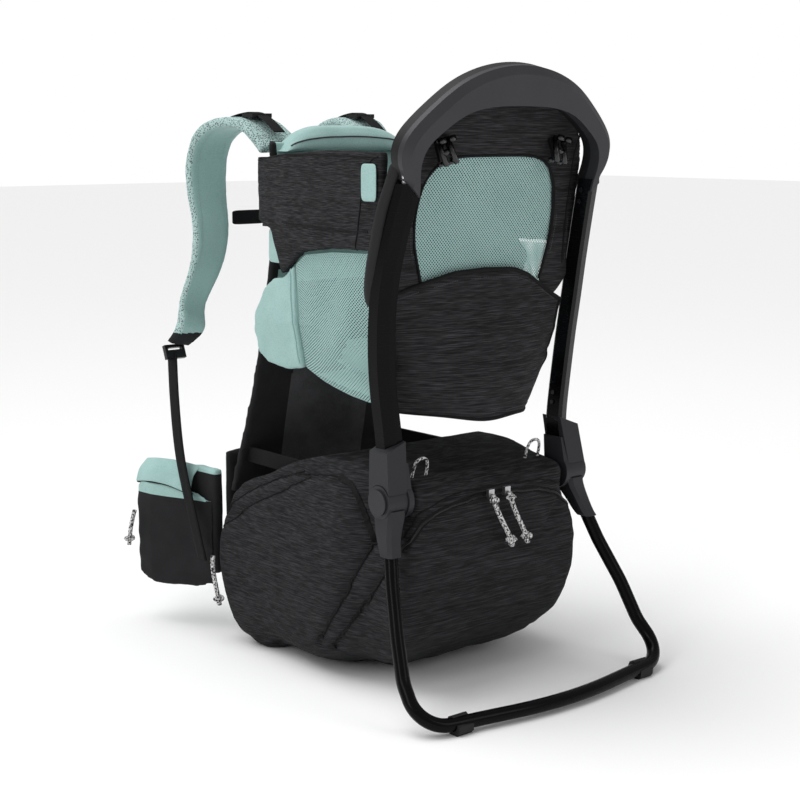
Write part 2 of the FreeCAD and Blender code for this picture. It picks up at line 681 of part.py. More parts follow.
# ---------------------------------------------------------------- assembly
def build():
    """Every piece by node name."""
    nodes = {}
    leg_left, leg_left_solid = frame_leg(-1)
    leg_right, leg_right_solid = frame_leg(1)
    legs = [leg_left_solid, leg_right_solid]
    nodes["frame_leg_left"] = leg_left
    nodes["frame_leg_right"] = leg_right

    rear_full = arch_shell(ARCH_SEAM, ARCH_REAR, ARCH_BEVEL)
    front_full = arch_shell(ARCH_FRONT, ARCH_SEAM - 0.1, 0.0)
    core_room = arch_core_bar(ARCH_CORE_R + 0.3)
    nodes["arch_cover_rear"] = rear_full.cut(core_room)
    nodes["arch_cover_front"] = front_full.cut(core_room)
    nodes["arch_core"] = arch_core_bar(ARCH_CORE_R)
    for name in ("frame_leg_left", "frame_leg_right"):
        for solid in (rear_full, front_full):
            nodes[name] = nodes[name].cut(solid)
    nodes["leg_screws"] = leg_screws()

    tube, tube_solid = kickstand()
    housing = hub_housing(leg_left_solid)
    sleeve = kick_sleeve(tube_solid)
    nodes["hub_housing_left"] = housing
    nodes["hub_housing_right"] = mirrored(housing)
    pin = cylinder_x(-EYE_OUT - 0.1, -HUB_IN - 1, HUB_Y, HUB_Z, PIN_R)
    nodes["hinge_pins"] = Part.makeCompound([pin, mirrored(pin)])
    cap = cylinder_x(-EYE_OUT - 2.6, -EYE_OUT - 0.1, HUB_Y, HUB_Z, CAP_R)
    nodes["hub_caps"] = Part.makeCompound([cap, mirrored(cap)])
    nodes["kick_sleeve_left"] = sleeve
    nodes["kick_sleeve_right"] = mirrored(sleeve)
    nodes["kickstand_tube"] = tube
    nodes["kick_feet"] = kick_feet(tube_solid)

    plate, cover, pad, lumbar = back_parts()
    lower = lower_struts()
    upper = upper_struts()
    lower_room = lower_struts(0.5)
    for bar in lower_room:
        cover = cover.cut(bar)
    nodes["lower_struts"] = Part.makeCompound([b.cut(back_slab(0, 60, -30)) for b in lower])
    nodes["upper_struts"] = Part.makeCompound([b.cut(plate) for b in upper])
    nodes["back_plate"] = plate
    for bar in upper:
        cover = cover.cut(bar)
    nodes["back_cover"] = max(cover.Solids, key=lambda s: s.Volume)
    nodes["back_mesh_pad"] = pad
    nodes["lumbar_pad"] = lumbar

    bag = storage_bag(Part.makeCompound(lower_room))
    nodes["storage_bag"] = max(bag.Solids, key=lambda s: s.Volume)

    panel = rear_panel([rear_full, front_full], legs)
    nodes["rear_panel"] = panel.cut(front_prism(window_outline(0), -260, -100))
    nodes["mesh_window"] = panel.common(front_prism(window_outline(-0.3), -260, -100))
    flap = rear_flap()
    for solid in legs + [panel]:
        flap = flap.cut(solid)
    nodes["rear_flap"] = max(flap.Solids, key=lambda s: s.Volume)
    nodes["canopy_clips"] = canopy_clips()

    for side, name in ((-1, "left"), (1, "right")):
        band = side_wall(side, BAND, BAND_OUTLINE)
        for bar in upper:
            band = band.cut(bar)
        for solid in legs + [panel, nodes["back_cover"]]:
            band = band.cut(solid)
        nodes["side_band_" + name] = max(band.Solids, key=lambda s: s.Volume)
        mesh = side_wall(side, WALL, MESH_OUTLINE)
        for solid in legs + [flap, panel, band]:
            mesh = mesh.cut(solid)
        nodes["bucket_side_" + name] = max(mesh.Solids, key=lambda s: s.Volume)
        cuff = side_wall(side, 2 * WALL, CUFF_OUTLINE)
        for solid in (band, mesh, nodes["back_cover"]):
            cuff = cuff.cut(solid)
        nodes["thigh_cuff_" + name] = max(cuff.Solids, key=lambda s: s.Volume)

    nodes["collar_pad"] = collar_pad()
    floor = bucket_floor()
    for name in ("bucket_side_left", "bucket_side_right", "rear_flap"):
        floor = floor.cut(nodes[name])
    nodes["bucket_floor"] = max(floor.Solids, key=lambda s: s.Volume)
    nodes["seat_pad"] = seat_pad()
    nodes["child_harness"] = child_harness()
    nodes["child_buckle"] = child_buckle()
    nodes["buckle_button"] = buckle_button()

    nodes["harness_yoke"] = harness_yoke()
    strap = strip(STRAP_LINE, STRAP_WIDTHS, STRAP_THICK).cut(nodes["harness_yoke"])
    strap = max(strap.Solids, key=lambda s: s.Volume)
    locks = ladder_locks()
    strap = strap.cut(locks)
    strap = max(strap.Solids, key=lambda s: s.Volume)
    nodes["shoulder_strap_left"] = strap
    nodes["shoulder_strap_right"] = mirrored(strap)
    nodes["ladder_locks"] = locks
    nodes["sternum_strap"], nodes["sternum_buckle"] = sternum_parts()
    for side, name in ((-1, "left"), (1, "right")):
        nodes["lower_webbing_" + name] = lower_webbing(side).cut(locks)

    wing = hip_wing()
    pocket = hip_pocket()
    nodes["hip_wing_left"] = wing
    nodes["hip_wing_right"] = mirrored(wing)
    nodes["hip_pocket_left"] = pocket
    nodes["hip_pocket_right"] = mirrored(pocket)
    nodes["hip_buckle_left"] = hip_buckle(-1).cut(wing).cut(pocket)
    nodes["hip_buckle_right"] = mirrored(nodes["hip_buckle_left"])

    nodes["zip_slider_left"] = zip_slider(ZIP_CORD_LEFT[0][0])
    nodes["zip_slider_right"] = zip_slider(ZIP_CORD_RIGHT[0][0])
    nodes["zip_cord_left"] = cord("zip_cord_left", ZIP_CORD_LEFT, CORD_D)
    nodes["zip_cord_right"] = cord("zip_cord_right", ZIP_CORD_RIGHT, CORD_D)
    nodes["side_pull_cord"] = cord("side_pull_cord", SIDE_CORD, CORD_D)
    nodes["hip_pull_left"] = cord("hip_pull_left", HIP_CORD, CORD_D)
    nodes["hip_pull_right"] = cord("hip_pull_right", flipped(HIP_CORD), CORD_D)
    nodes["cord_loop_left"] = cord("cord_loop_left", LOOP_ROUTE, LOOP_D)
    nodes["cord_loop_right"] = cord("cord_loop_right", flipped(LOOP_ROUTE), LOOP_D)
    return nodes


def main():
    """Write one STEP file per node."""
    os.makedirs("parts", exist_ok=True)
    for name, shape in build().items():
        if not shape.isValid():
            print("INVALID", name)
        shape.exportStep("parts/%s.step" % name)


main()
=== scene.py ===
"""Looks of the child carrier backpack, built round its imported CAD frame.

Tables of points hold millimetres in the part's frame, and MM turns them into metres.
"""

import math

import bmesh
import bpy
from mathutils import Matrix, Vector, noise
from mathutils.bvhtree import BVHTree
from mathutils.kdtree import KDTree


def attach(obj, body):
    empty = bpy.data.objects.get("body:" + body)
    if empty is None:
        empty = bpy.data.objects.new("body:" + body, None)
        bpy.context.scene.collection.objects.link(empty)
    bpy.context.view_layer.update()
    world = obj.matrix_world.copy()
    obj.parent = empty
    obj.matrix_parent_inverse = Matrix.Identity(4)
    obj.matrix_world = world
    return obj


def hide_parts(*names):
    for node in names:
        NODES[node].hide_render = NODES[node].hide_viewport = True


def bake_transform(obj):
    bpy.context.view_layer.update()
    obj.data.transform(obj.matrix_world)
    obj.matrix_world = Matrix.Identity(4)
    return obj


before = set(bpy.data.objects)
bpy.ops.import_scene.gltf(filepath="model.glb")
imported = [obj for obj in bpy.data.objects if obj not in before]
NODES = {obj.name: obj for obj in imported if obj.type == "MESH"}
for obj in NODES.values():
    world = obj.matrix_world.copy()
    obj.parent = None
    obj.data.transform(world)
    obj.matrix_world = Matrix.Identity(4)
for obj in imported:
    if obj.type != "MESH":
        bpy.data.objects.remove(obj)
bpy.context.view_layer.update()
MM = 0.001
WAVE_PERIOD = 0.3142  # length of one band of a wave texture at scale 1
SIDES = ((-1, "left"), (1, "right"))
ACROSS = (-1, -0.5, 0, 0.5, 1)  # places across a band, in half widths


# ---------------- numbers and lines
def on_side(line, s):
    """A left-hand line on side s: -1 is left, 1 is right."""
    return [(-s * x, y, z) for x, y, z in line]


def spline(table, count):
    """Catmull-Rom line through the points, at an even step of their index."""
    last = len(table) - 1
    out = []
    for i in range(count):
        t = i * last / (count - 1)
        k = min(int(t), last - 1)
        f = t - k
        p = [table[min(max(k + j, 0), last)] for j in (-1, 0, 1, 2)]
        out.append(tuple(
            0.5 * (2 * b + (c - a) * f + (2 * a - 5 * b + 4 * c - d) * f * f
                   + (3 * b - a - 3 * c + d) * f ** 3) for a, b, c, d in zip(*p)))
    return out


def lookup(table, key):
    """Straight interpolation of a table of (key, value, ...) rows."""
    rows = sorted(table)
    if key <= rows[0][0]:
        return rows[0][1:]
    for low, high in zip(rows, rows[1:]):
        if key <= high[0]:
            f = (key - low[0]) / (high[0] - low[0])
            return tuple(a + (b - a) * f for a, b in zip(low[1:], high[1:]))
    return rows[-1][1:]


def evenly(line, count):
    """An open polyline resampled at even distances."""
    pts = [Vector(p) for p in line]
    reach = [0.0]
    for a, b in zip(pts, pts[1:]):
        reach.append(reach[-1] + (b - a).length)
    out, k = [], 0
    for i in range(count):
        goal = reach[-1] * i / (count - 1)
        while k < len(pts) - 2 and reach[k + 1] < goal:
            k += 1
        span = max(reach[k + 1] - reach[k], 1e-9)
        out.append(pts[k].lerp(pts[k + 1], (goal - reach[k]) / span))
    return out


# ---------------- meshes
def link(name, data):
    """A new object in the scene."""
    obj = bpy.data.objects.new(name, data)
    bpy.context.scene.collection.objects.link(obj)
    return obj


def mesh_piece(name, verts, faces, uvs=None):
    """A smooth mesh object from millimetre points."""
    data = bpy.data.meshes.new(name)
    data.from_pydata([tuple(c * MM for c in v) for v in verts], [], faces)
    if uvs:
        layer = data.uv_layers.new(name="uv")
        for loop in data.loops:
            layer.data[loop.index].uv = uvs[loop.vertex_index]
    for polygon in data.polygons:
        polygon.use_smooth = True
    return link(name, data)


def grid(name, rows, closed=False):
    """Quad grid through rows of millimetre points, with its UVs in metres.

    A closed one joins each row's ends and caps the first and last rows.
    """
    count = len(rows[0])
    verts = [tuple(p) for row in rows for p in row]
    faces, uvs = [], []
    wrap = count if closed else count - 1
    for i in range(len(rows) - 1):
        for j in range(wrap):
            k = (j + 1) % count
            faces.append((i * count + j, i * count + k, (i + 1) * count + k,
                          (i + 1) * count + j))
    across = 0.0
    for i, row in enumerate(rows):
        if i:
            across += max((Vector(a) - Vector(b)).length for a, b in zip(row, rows[i - 1]))
        along = 0.0
        for j, p in enumerate(row):
            if j:
                along += (Vector(p) - Vector(row[j - 1])).length
            uvs.append((along * MM, across * MM))
    if closed:
        faces.append(tuple(reversed(range(count))))
        faces.append(tuple(range((len(rows) - 1) * count, len(rows) * count)))
    return mesh_piece(name, verts, faces, uvs)


def subdivide(obj, levels=2):
    """Subdivision surface."""
    mod = obj.modifiers.new("subdivision", "SUBSURF")
    mod.levels = mod.render_levels = levels
    return obj


def thicken(obj, thickness):
    """Solidify evenly to both sides by a thickness in millimetres."""
    mod = obj.modifiers.new("thickness", "SOLIDIFY")
    mod.thickness = thickness * MM
    mod.offset = 0.0
    return obj


def sheet_net(name, net, across, along, thickness, wrinkle):
    """Soft sheet through a net of points, smooth both ways, with wrinkles along its normal."""
    rows = [spline(row, across) for row in net]
    columns = [spline([row[j] for row in rows], along) for j in range(across)]
    rows = [[columns[j][i] for j in range(across)] for i in range(along)]
    return subdivide(thicken(grid(name, wrinkled(rows, wrinkle)), thickness), 1)


def wrinkled(rows, height):
    """Rows moved along their normals by height(point)."""
    out = []
    last_i, last_j = len(rows) - 1, len(rows[0]) - 1
    for i, row in enumerate(rows):
        line = []
        for j, p in enumerate(row):
            du = Vector(row[min(j + 1, last_j)]) - Vector(row[max(j - 1, 0)])
            dv = Vector(rows[min(i + 1, last_i)][j]) - Vector(rows[max(i - 1, 0)][j])
            normal = du.cross(dv)
            normal = normal.normalized() if normal.length else Vector((0, 0, 1))
            line.append(tuple(Vector(p) + normal * height(p)))
        out.append(line)
    return out


def curve(name, kind, line, radius, material, resolution):
    """A capped round curve object along millimetre points."""
    data = bpy.data.curves.new(name, "CURVE")
    data.dimensions = "3D"
    data.bevel_depth = radius * MM
    data.bevel_resolution = resolution
    data.use_fill_caps = True
    run = data.splines.new(kind)
    run.points.add(len(line) - 1)
    for p, q in zip(run.points, line):
        p.co = (q[0] * MM, q[1] * MM, q[2] * MM, 1)
    data.materials.append(material)
    return link(name, data)


def tube(name, line, radius, material):
    """Piping or seam: a smooth round line through millimetre points."""
    return curve(name, "POLY", line, radius, material, 2)


def ribbon(name, line, normals, width, thickness, material):
    """Flat band along a millimetre line, lying square to the given normals."""
    rows = []
    for i, p in enumerate(line):
        along = (Vector(line[min(i + 1, len(line) - 1)]) - Vector(line[max(i - 1, 0)]))
        along.normalize()
        side = along.cross(Vector(normals[i])).normalized()
        rows.append([tuple(Vector(p) + side * (width / 2) * s) for s in ACROSS])
    obj = grid(name, rows)
    thicken(obj, thickness)
    obj.data.materials.append(material)
    return subdivide(obj, 1)


def surface_of(obj):
    """Search tree of an object's final mesh."""
    bpy.context.view_layer.update()
    return BVHTree.FromObject(obj, bpy.context.evaluated_depsgraph_get())


def snapped(tree, line, lift):
    """Millimetre points moved onto a surface, lift above it, with their normals."""
    out, normals = [], []
    for p in line:
        place, normal, _, _ = tree.find_nearest(Vector(p) * MM)
        out.append(tuple((place + normal * lift * MM) / MM))
        normals.append(normal)
    return out, normals


def stitches(name, tree, line, lift, material, count, size=1.1):
    """A row of short stitches laid on a surface."""
    marks = evenly(line, count)
    verts, faces = [], []
    for a, b in zip(marks, marks[1:]):
        start, end = a.lerp(b, 0.2), a.lerp(b, 0.75)
        (p, q), (n, m) = snapped(tree, [start, end], lift)
        p, q = Vector(p), Vector(q)
        side = (q - p).cross(n).normalized() * size / 2
        base = len(verts)
        rise = Vector(n) * size * 0.4
        verts += [tuple(v) for v in (p - side, p + side, q + side, q - side,
                                     p.lerp(q, 0.5) + rise)]
        faces += [(base, base + 1, base + 4), (base + 1, base + 2, base + 4),
                  (base + 2, base + 3, base + 4), (base + 3, base, base + 4)]
    obj = mesh_piece(name, verts, faces)
    obj.data.materials.append(material)
    return obj


def place(obj, body, material=None, replaces=(), slot=None, padded=None):
    """Material, body and replaced CAD nodes of a piece; its finish slot and filling arguments are
    not used.
    """
    if material:
        obj.data.materials.append(material)
    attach(obj, body)
    if replaces:
        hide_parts(*replaces)
    return obj


def trimming(name, line, radius, material=None, slot="plain_black"):
    """A round trimming of the frame's cloth, in binding cloth unless told."""
    return place(tube(name, line, radius, material or BINDING), "frame", slot=slot)


def panel(name, rows, thickness, material, slot, levels=2):
    """A cloth panel of the frame through rows of millimetre points."""
    obj = subdivide(thicken(grid(name, rows), thickness), levels)
    return place(obj, "frame", material, slot=slot)


def thread_row(name, tree, line, count):
    """A row of thread stitches on the frame's cloth."""
    return place(stitches(name, tree, line, 0.3, THREAD, count), "frame", slot="plain_black")


# ---------------- materials
CLOTH_SPECULAR = 0.15


class Shader:
    """A principled material and short ways to feed it."""

    def __init__(self, name, colour, roughness, **sockets):
        self.material = bpy.data.materials.new(name)
        self.material.use_nodes = True
        tree = self.material.node_tree
        self.nodes, self.links = tree.nodes, tree.links
        self.bsdf = self.nodes["Principled BSDF"]
        self.bsdf.inputs["Base Color"].default_value = (*colour, 1)
        self.bsdf.inputs["Roughness"].default_value = roughness
        self.bsdf.inputs["Specular IOR Level"].default_value = 0.3
        for key, value in sockets.items():
            self.bsdf.inputs[key.replace("_", " ")].default_value = value
        self.coordinates = self.node("TexCoord")

    def node(self, kind, vector=None, **inputs):
        """A shader node, its inputs set and its vector linked."""
        made = self.nodes.new("ShaderNode" + kind)
        for key, value in inputs.items():
            made.inputs[key.replace("_", " ")].default_value = value
        if vector is not None:
            self.links.new(vector, made.inputs["Vector"])
        return made

    def space(self, scale, source="Object", rotation=(0, 0, 0)):
        """Texture coordinates stretched by a scale."""
        return self.node("Mapping", self.coordinates.outputs[source], Scale=scale,
                         Rotation=rotation).outputs["Vector"]

    def noise(self, scale, detail=2.0):
        """Noise texture over stretched coordinates."""
        return self.node("TexNoise", self.space(scale), Scale=1.0,
                         Detail=detail).outputs["Fac"]

    def cells(self, scale, randomness=1.0):
        """Distance to the nearest Voronoi point."""
        return self.node("TexVoronoi", self.space(scale), Randomness=randomness,
                         Scale=1.0).outputs["Distance"]

    def bands(self, vector, axis):
        """Even bands across one axis of a vector socket."""
        node = self.node("TexWave", vector, Scale=1.0)
        node.bands_direction = axis
        return node.outputs["Fac"]

    def wave(self, scale, axis):
        """Even bands across one axis of stretched coordinates."""
        return self.bands(self.space(scale), axis)

    def math(self, kind, a, b):
        """Arithmetic of two sockets or numbers."""
        node = self.node("Math")
        node.operation = kind
        for socket, value in zip(node.inputs, (a, b)):
            if isinstance(value, (int, float)):
                socket.default_value = value
            else:
                self.links.new(value, socket)
        return node.outputs[0]

    def ramp(self, source, stops):
        """Colour ramp with (place, colour) stops."""
        node = self.node("ValToRGB")
        marks = node.color_ramp.elements
        while len(marks) < len(stops):
            marks.new(0.5)
        for mark, (where, colour) in zip(marks, stops):
            mark.position = where
            mark.color = (*colour, 1)
        self.links.new(source, node.inputs["Fac"])
        return node.outputs["Color"]

    def colour(self, socket):
        """Base colour from a socket."""
        self.links.new(socket, self.bsdf.inputs["Base Color"])

    def roughness(self, source, low, high):
        """Roughness between two values by a socket."""
        node = self.node("MapRange", To_Min=low, To_Max=high)
        self.links.new(source, node.inputs["Value"])
        self.links.new(node.outputs["Result"], self.bsdf.inputs["Roughness"])

    def bump(self, source, strength, distance):
        """Bump from a height socket; distance in millimetres."""
        node = self.node("Bump", Strength=strength, Distance=distance * MM)
        self.links.new(source, node.inputs["Height"])
        self.links.new(node.outputs["Normal"], self.bsdf.inputs["Normal"])


def heather(name, dark, light):
    """Dark cloth with fine broken light streaks along the weft."""
    s = Shader(name, dark, 0.82, Specular_IOR_Level=CLOTH_SPECULAR)
    streak = s.noise((48, 80, 1900), 3.0)
    long_streak = s.noise((12, 26, 900), 2.0)
    mixed = s.math("ADD", s.math("MULTIPLY", streak, 0.72), s.math("MULTIPLY", long_streak, 0.28))
    middle = [(a + b) / 2 for a, b in zip(dark, light)]
    s.colour(s.ramp(mixed, [(0.44, dark), (0.55, middle), (0.66, light)]))
    weave = s.math("ADD", s.wave((900, 900, 0), "X"), s.wave((0, 0, 1500), "Z"))
    s.bump(s.math("ADD", weave, s.math("MULTIPLY", mixed, 1.5)), 0.35, 0.35)
    s.roughness(streak, 0.7, 0.95)
    return s.material


def plain_cloth(name, colour, light, roughness=0.85):
    """Plain woven cloth with a faint mottle."""
    s = Shader(name, colour, roughness, Sheen_Weight=0.02, Sheen_Roughness=0.5,
               Specular_IOR_Level=CLOTH_SPECULAR)
    blotch = s.noise((35, 35, 35), 4.0)
    fine = s.noise((1600, 1600, 1600), 1.0)
    both = s.math("ADD", s.math("MULTIPLY", blotch, 0.4), s.math("MULTIPLY", fine, 0.6))
    s.colour(s.ramp(both, [(0.35, colour), (0.65, light)]))
    weave = s.math("MULTIPLY", s.wave((1100, 0, 0), "X"), s.wave((0, 0, 1100), "Z"))
    s.bump(s.math("ADD", weave, s.math("MULTIPLY", blotch, 2.0)), 0.3, 0.25)
    s.roughness(fine, roughness - 0.08, min(1.0, roughness + 0.08))
    return s.material


def knit(name, dark, light):
    """Soft knitted cloth with rows of small loops."""
    s = Shader(name, light, 0.8, Sheen_Weight=0.25, Sheen_Roughness=0.4)
    loops = s.cells((950, 950, 760))
    blotch = s.noise((30, 30, 30), 3.0)
    both = s.math("ADD", s.math("MULTIPLY", loops, 0.5), s.math("MULTIPLY", blotch, 0.5))
    s.colour(s.ramp(both, [(0.2, light), (0.75, dark)]))
    s.bump(loops, 0.35, 0.3)
    s.roughness(loops, 0.7, 0.9)
    return s.material


def net_cloth(name, dark, light, pitch, cover):
    """Open mesh on the diagonal, pitch in millimetres; its holes let light through."""
    s = Shader(name, light, 0.75, Sheen_Weight=0.05, Sheen_Roughness=0.4)
    turned = s.space((1, 1, 1), "UV", (0, 0, math.radians(45)))
    fine = s.node("Mapping", turned, Scale=[WAVE_PERIOD / (pitch * MM)] * 3)
    net = s.math("MULTIPLY", *[s.bands(fine.outputs["Vector"], axis) for axis in "XY"])
    blotch = s.noise((25, 25, 25), 3.0)
    s.colour(s.ramp(s.math("ADD", s.math("MULTIPLY", net, 0.5), s.math("MULTIPLY", blotch, 0.4)),
                    [(0.1, light), (0.6, dark)]))
    s.bump(net, 0.6, 0.4)
    open_part = s.math("GREATER_THAN", net, cover)
    s.links.new(s.math("SUBTRACT", 1.0, s.math("MULTIPLY", open_part, 0.9)),
                s.bsdf.inputs["Alpha"])
    return s.material


def spacer(name, dark, light):
    """Thick spacer mesh: pale threads over dark cells."""
    s = Shader(name, light, 0.85)
    cell = s.cells((520, 520, 520), randomness=0.85)
    s.colour(s.ramp(cell, [(0.22, dark), (0.5, light)]))
    s.bump(cell, 0.8, 0.8)
    return s.material


def moulded(name, colour, roughness, grain=0.25, coat=0.0):
    """Moulded plastic with a fine grain and soft wear."""
    s = Shader(name, colour, roughness, Coat_Weight=coat, Coat_Roughness=0.25)
    fine = s.noise((2200, 2200, 2200), 1.0)
    broad = s.noise((18, 18, 18), 3.0)
    s.colour(s.ramp(broad, [(0.3, colour), (0.8, [c * 1.25 for c in colour])]))
    s.roughness(s.math("ADD", s.math("MULTIPLY", fine, 0.5), s.math("MULTIPLY", broad, 0.5)),
                roughness - 0.07, roughness + 0.07)
    s.bump(fine, grain, 0.15)
    return s.material


def enamel(name, colour, roughness):
    """Gloss black enamel on aluminium, faintly uneven."""
    s = Shader(name, colour, roughness, Coat_Weight=0.03, Coat_Roughness=0.1,
               Specular_IOR_Level=0.07)
    broad = s.noise((14, 14, 14), 3.0)
    scratch = s.noise((60, 60, 900), 2.0)
    s.colour(s.ramp(broad, [(0.3, colour), (0.8, [c * 1.6 for c in colour])]))
    s.roughness(scratch, roughness - 0.05, roughness + 0.12)
    s.bump(s.noise((220, 220, 60), 2.0), 0.05, 0.1)
    return s.material


def metal(name, colour, roughness):
    """Satin metal."""
    s = Shader(name, colour, roughness, Metallic=1.0)
    brushed = s.noise((2500, 60, 60), 2.0)
    s.roughness(brushed, roughness - 0.1, roughness + 0.1)
    s.bump(brushed, 0.1, 0.05)
    return s.material


def webbing(name, colour, light):
    """Ribbed woven webbing."""
    s = Shader(name, colour, 0.7, Specular_IOR_Level=CLOTH_SPECULAR)
    ribs = s.wave((0, 0, 240), "Z")
    rows = s.wave((0, 300, 0), "Y")
    both = s.math("MULTIPLY", ribs, rows)
    s.colour(s.ramp(both, [(0.2, colour), (0.9, light)]))
    s.bump(both, 0.6, 0.4)
    s.roughness(rows, 0.6, 0.8)
    return s.material


def flecked(name):
    """Round braid in pale grey with black flecks."""
    s = Shader(name, (0.5, 0.5, 0.5), 0.75)
    cell = s.cells((620, 620, 420))
    s.colour(s.ramp(cell, [(0.28, (0.75, 0.75, 0.74)), (0.52, (0.5, 0.5, 0.5)),
                           (0.6, (0.02, 0.02, 0.02))]))
    s.bump(s.cells((500, 500, 500)), 0.7, 0.5)
    return s.material


MINT = (0.37, 0.56, 0.535)
MINT_DARK = (0.27, 0.43, 0.41)
HEATHER = heather("heather_cloth", (0.008, 0.008, 0.009), (0.055, 0.055, 0.059))
HEATHER_DARK = heather("heather_dark_cloth", (0.007, 0.007, 0.008), (0.048, 0.048, 0.052))
MELANGE = plain_cloth("melange_cloth", (0.035, 0.035, 0.037), (0.095, 0.095, 0.1))
BLACK_CLOTH = plain_cloth("black_cloth", (0.011, 0.011, 0.012), (0.019, 0.019, 0.021))
BINDING = plain_cloth("binding_cloth", (0.004, 0.004, 0.005), (0.008, 0.008, 0.009), 0.75)
MINT_CLOTH = knit("mint_cloth", MINT_DARK, MINT)
MINT_NET = net_cloth("mint_net", MINT_DARK, MINT, 2.8, 0.3)
# Grey of the painted shadow: the dark sheet that stands behind the mesh window.
SHADOW_SHEET_GREY = plain_cloth("painted_shadow_grey", (0.05, 0.055, 0.055), (0.1, 0.11, 0.108))
SPACER = spacer("spacer_mesh", (0.008, 0.008, 0.009), (0.42, 0.58, 0.56))
COVER = moulded("charcoal_cover", (0.026, 0.026, 0.030), 0.45)
KNUCKLE = moulded("charcoal_knuckle", (0.018, 0.018, 0.021), 0.48)
BUCKLE = moulded("black_buckle", (0.006, 0.006, 0.007), 0.3, 0.1)
GREY_BUTTON = moulded("grey_button", (0.3, 0.31, 0.32), 0.4, 0.1)
RUBBER = moulded("foot_rubber", (0.008, 0.008, 0.009), 0.6)
ENAMEL = enamel("black_enamel", (0.002, 0.002, 0.0024), 0.22)
GLOSS_BUCKLE = moulded("gloss_buckle", (0.005, 0.005, 0.006), 0.16, 0.05, 0.5)
# Pale gloss of the painted highlight lines along the legs.
LEG_HIGHLIGHT_PAINT = moulded("leg_seam_gloss", (0.10, 0.10, 0.105), 0.2, 0.05, 0.5)
TRIM = moulded("black_trim", (0.005, 0.005, 0.006), 0.6)
STEEL = metal("satin_steel", (0.45, 0.45, 0.46), 0.35)
MILL = metal("mill_aluminium", (0.7, 0.7, 0.72), 0.4)
WEB = webbing("black_webbing", (0.004, 0.004, 0.005), (0.012, 0.012, 0.013))
CORD = flecked("flecked_cord")
THREAD = plain_cloth("thread", (0.05, 0.05, 0.055), (0.08, 0.08, 0.085))

NODE_FINISH = (
    (ENAMEL, "frame_leg_left frame_leg_right kickstand_tube"), (COVER, "arch_cover_rear"),
    (TRIM, "arch_cover_front"), (MILL, "arch_core upper_struts"), (RUBBER, "kick_feet"),
    (KNUCKLE, "hub_housing_left hub_housing_right hub_caps kick_sleeve_left kick_sleeve_right"),
    (BUCKLE, "leg_screws back_plate canopy_clips child_buckle ladder_locks sternum_buckle"
             " hip_buckle_left hip_buckle_right"),
    (STEEL, "hinge_pins zip_slider_left zip_slider_right"), (BINDING, "lower_struts"),
    (GREY_BUTTON, "buckle_button"),
)
for material, names in NODE_FINISH:
    for node in names.split():
        NODES[node].data.materials.clear()
        NODES[node].data.materials.append(material)


# ---------------- camera, light and floor
VIEW_AZIMUTH = math.radians(-39.33)
VIEW_ELEVATION = math.radians(9.58)
BACKDROP_STRENGTH = 1.0
FILL_STRENGTH = 0.42
SUN_STRENGTH = 1.9
FLOOR_HALF = 15  # metres
camera = link("camera", bpy.data.cameras.new("camera"))
camera.data.lens = 71.93
camera.data.sensor_width = 36.0
camera.location = (-1.174, -1.4441, 0.6105)
backwards = Vector((math.sin(VIEW_AZIMUTH) * math.cos(VIEW_ELEVATION),
                    -math.cos(VIEW_AZIMUTH) * math.cos(VIEW_ELEVATION),
                    math.sin(VIEW_ELEVATION)))
camera.rotation_mode = "QUATERNION"
camera.rotation_quaternion = (-backwards).to_track_quat("-Z", "Y")
bpy.context.scene.camera = camera
bpy.context.scene.view_settings.view_transform = "Standard"

world = bpy.data.worlds.new("studio")
bpy.context.scene.world = world
world.use_nodes = True
sky = world.node_tree
backdrop, fill = sky.nodes["Background"], sky.nodes.new("ShaderNodeBackground")
for background, strength in ((backdrop, BACKDROP_STRENGTH), (fill, FILL_STRENGTH)):
    background.inputs["Color"].default_value = (1, 1, 1, 1)
    background.inputs["Strength"].default_value = strength
paths, either = sky.nodes.new("ShaderNodeLightPath"), sky.nodes.new("ShaderNodeMixShader")
sky.links.new(paths.outputs["Is Camera Ray"], either.inputs["Fac"])
sky.links.new(fill.outputs["Background"], either.inputs[1])
sky.links.new(backdrop.outputs["Background"], either.inputs[2])
sky.links.new(either.outputs["Shader"], sky.nodes["World Output"].inputs["Surface"])

sun = link("light_sky", bpy.data.lights.new("light_sky", "SUN"))
sun.data.energy = SUN_STRENGTH
sun.data.angle = math.radians(50)
sun.rotation_euler = (math.radians(-20), math.radians(-18), 0)


def softbox(name, where, aim, size, power):
    """Area light pointed at a spot."""
    lamp = bpy.data.lights.new(name, "AREA")
    lamp.shape = "RECTANGLE"
    lamp.size, lamp.size_y = size
    lamp.energy = power
    obj = link(name, lamp)
    obj.location = where
    obj.rotation_mode = "QUATERNION"
    obj.rotation_quaternion = (Vector(aim) - Vector(where)).to_track_quat("-Z", "Y")
    return obj


softbox("light_left", (-2.4, -0.6, 1.7), (0, 0, 0.35), (0.7, 1.8), 16)
softbox("light_rear", (0.8, -2.6, 1.6), (0, -0.1, 0.3), (1.0, 1.2), 9)
softbox("light_top", (0.2, 0.3, 2.6), (0, 0, 0.3), (1.4, 1.4), 8)

floor = link("floor", bpy.data.meshes.new("floor"))
floor.data.from_pydata([(x * FLOOR_HALF, y * FLOOR_HALF, 0)
                        for x, y in ((-1, -1), (1, -1), (1, 1), (-1, 1))], [], [(0, 1, 2, 3)])
floor_shader = Shader("floor_paper", (0.93, 0.93, 0.93), 0.9)
floor_shader.bump(floor_shader.noise((60, 60, 60), 3.0), 0.02, 0.2)
floor.data.materials.append(floor_shader.material)


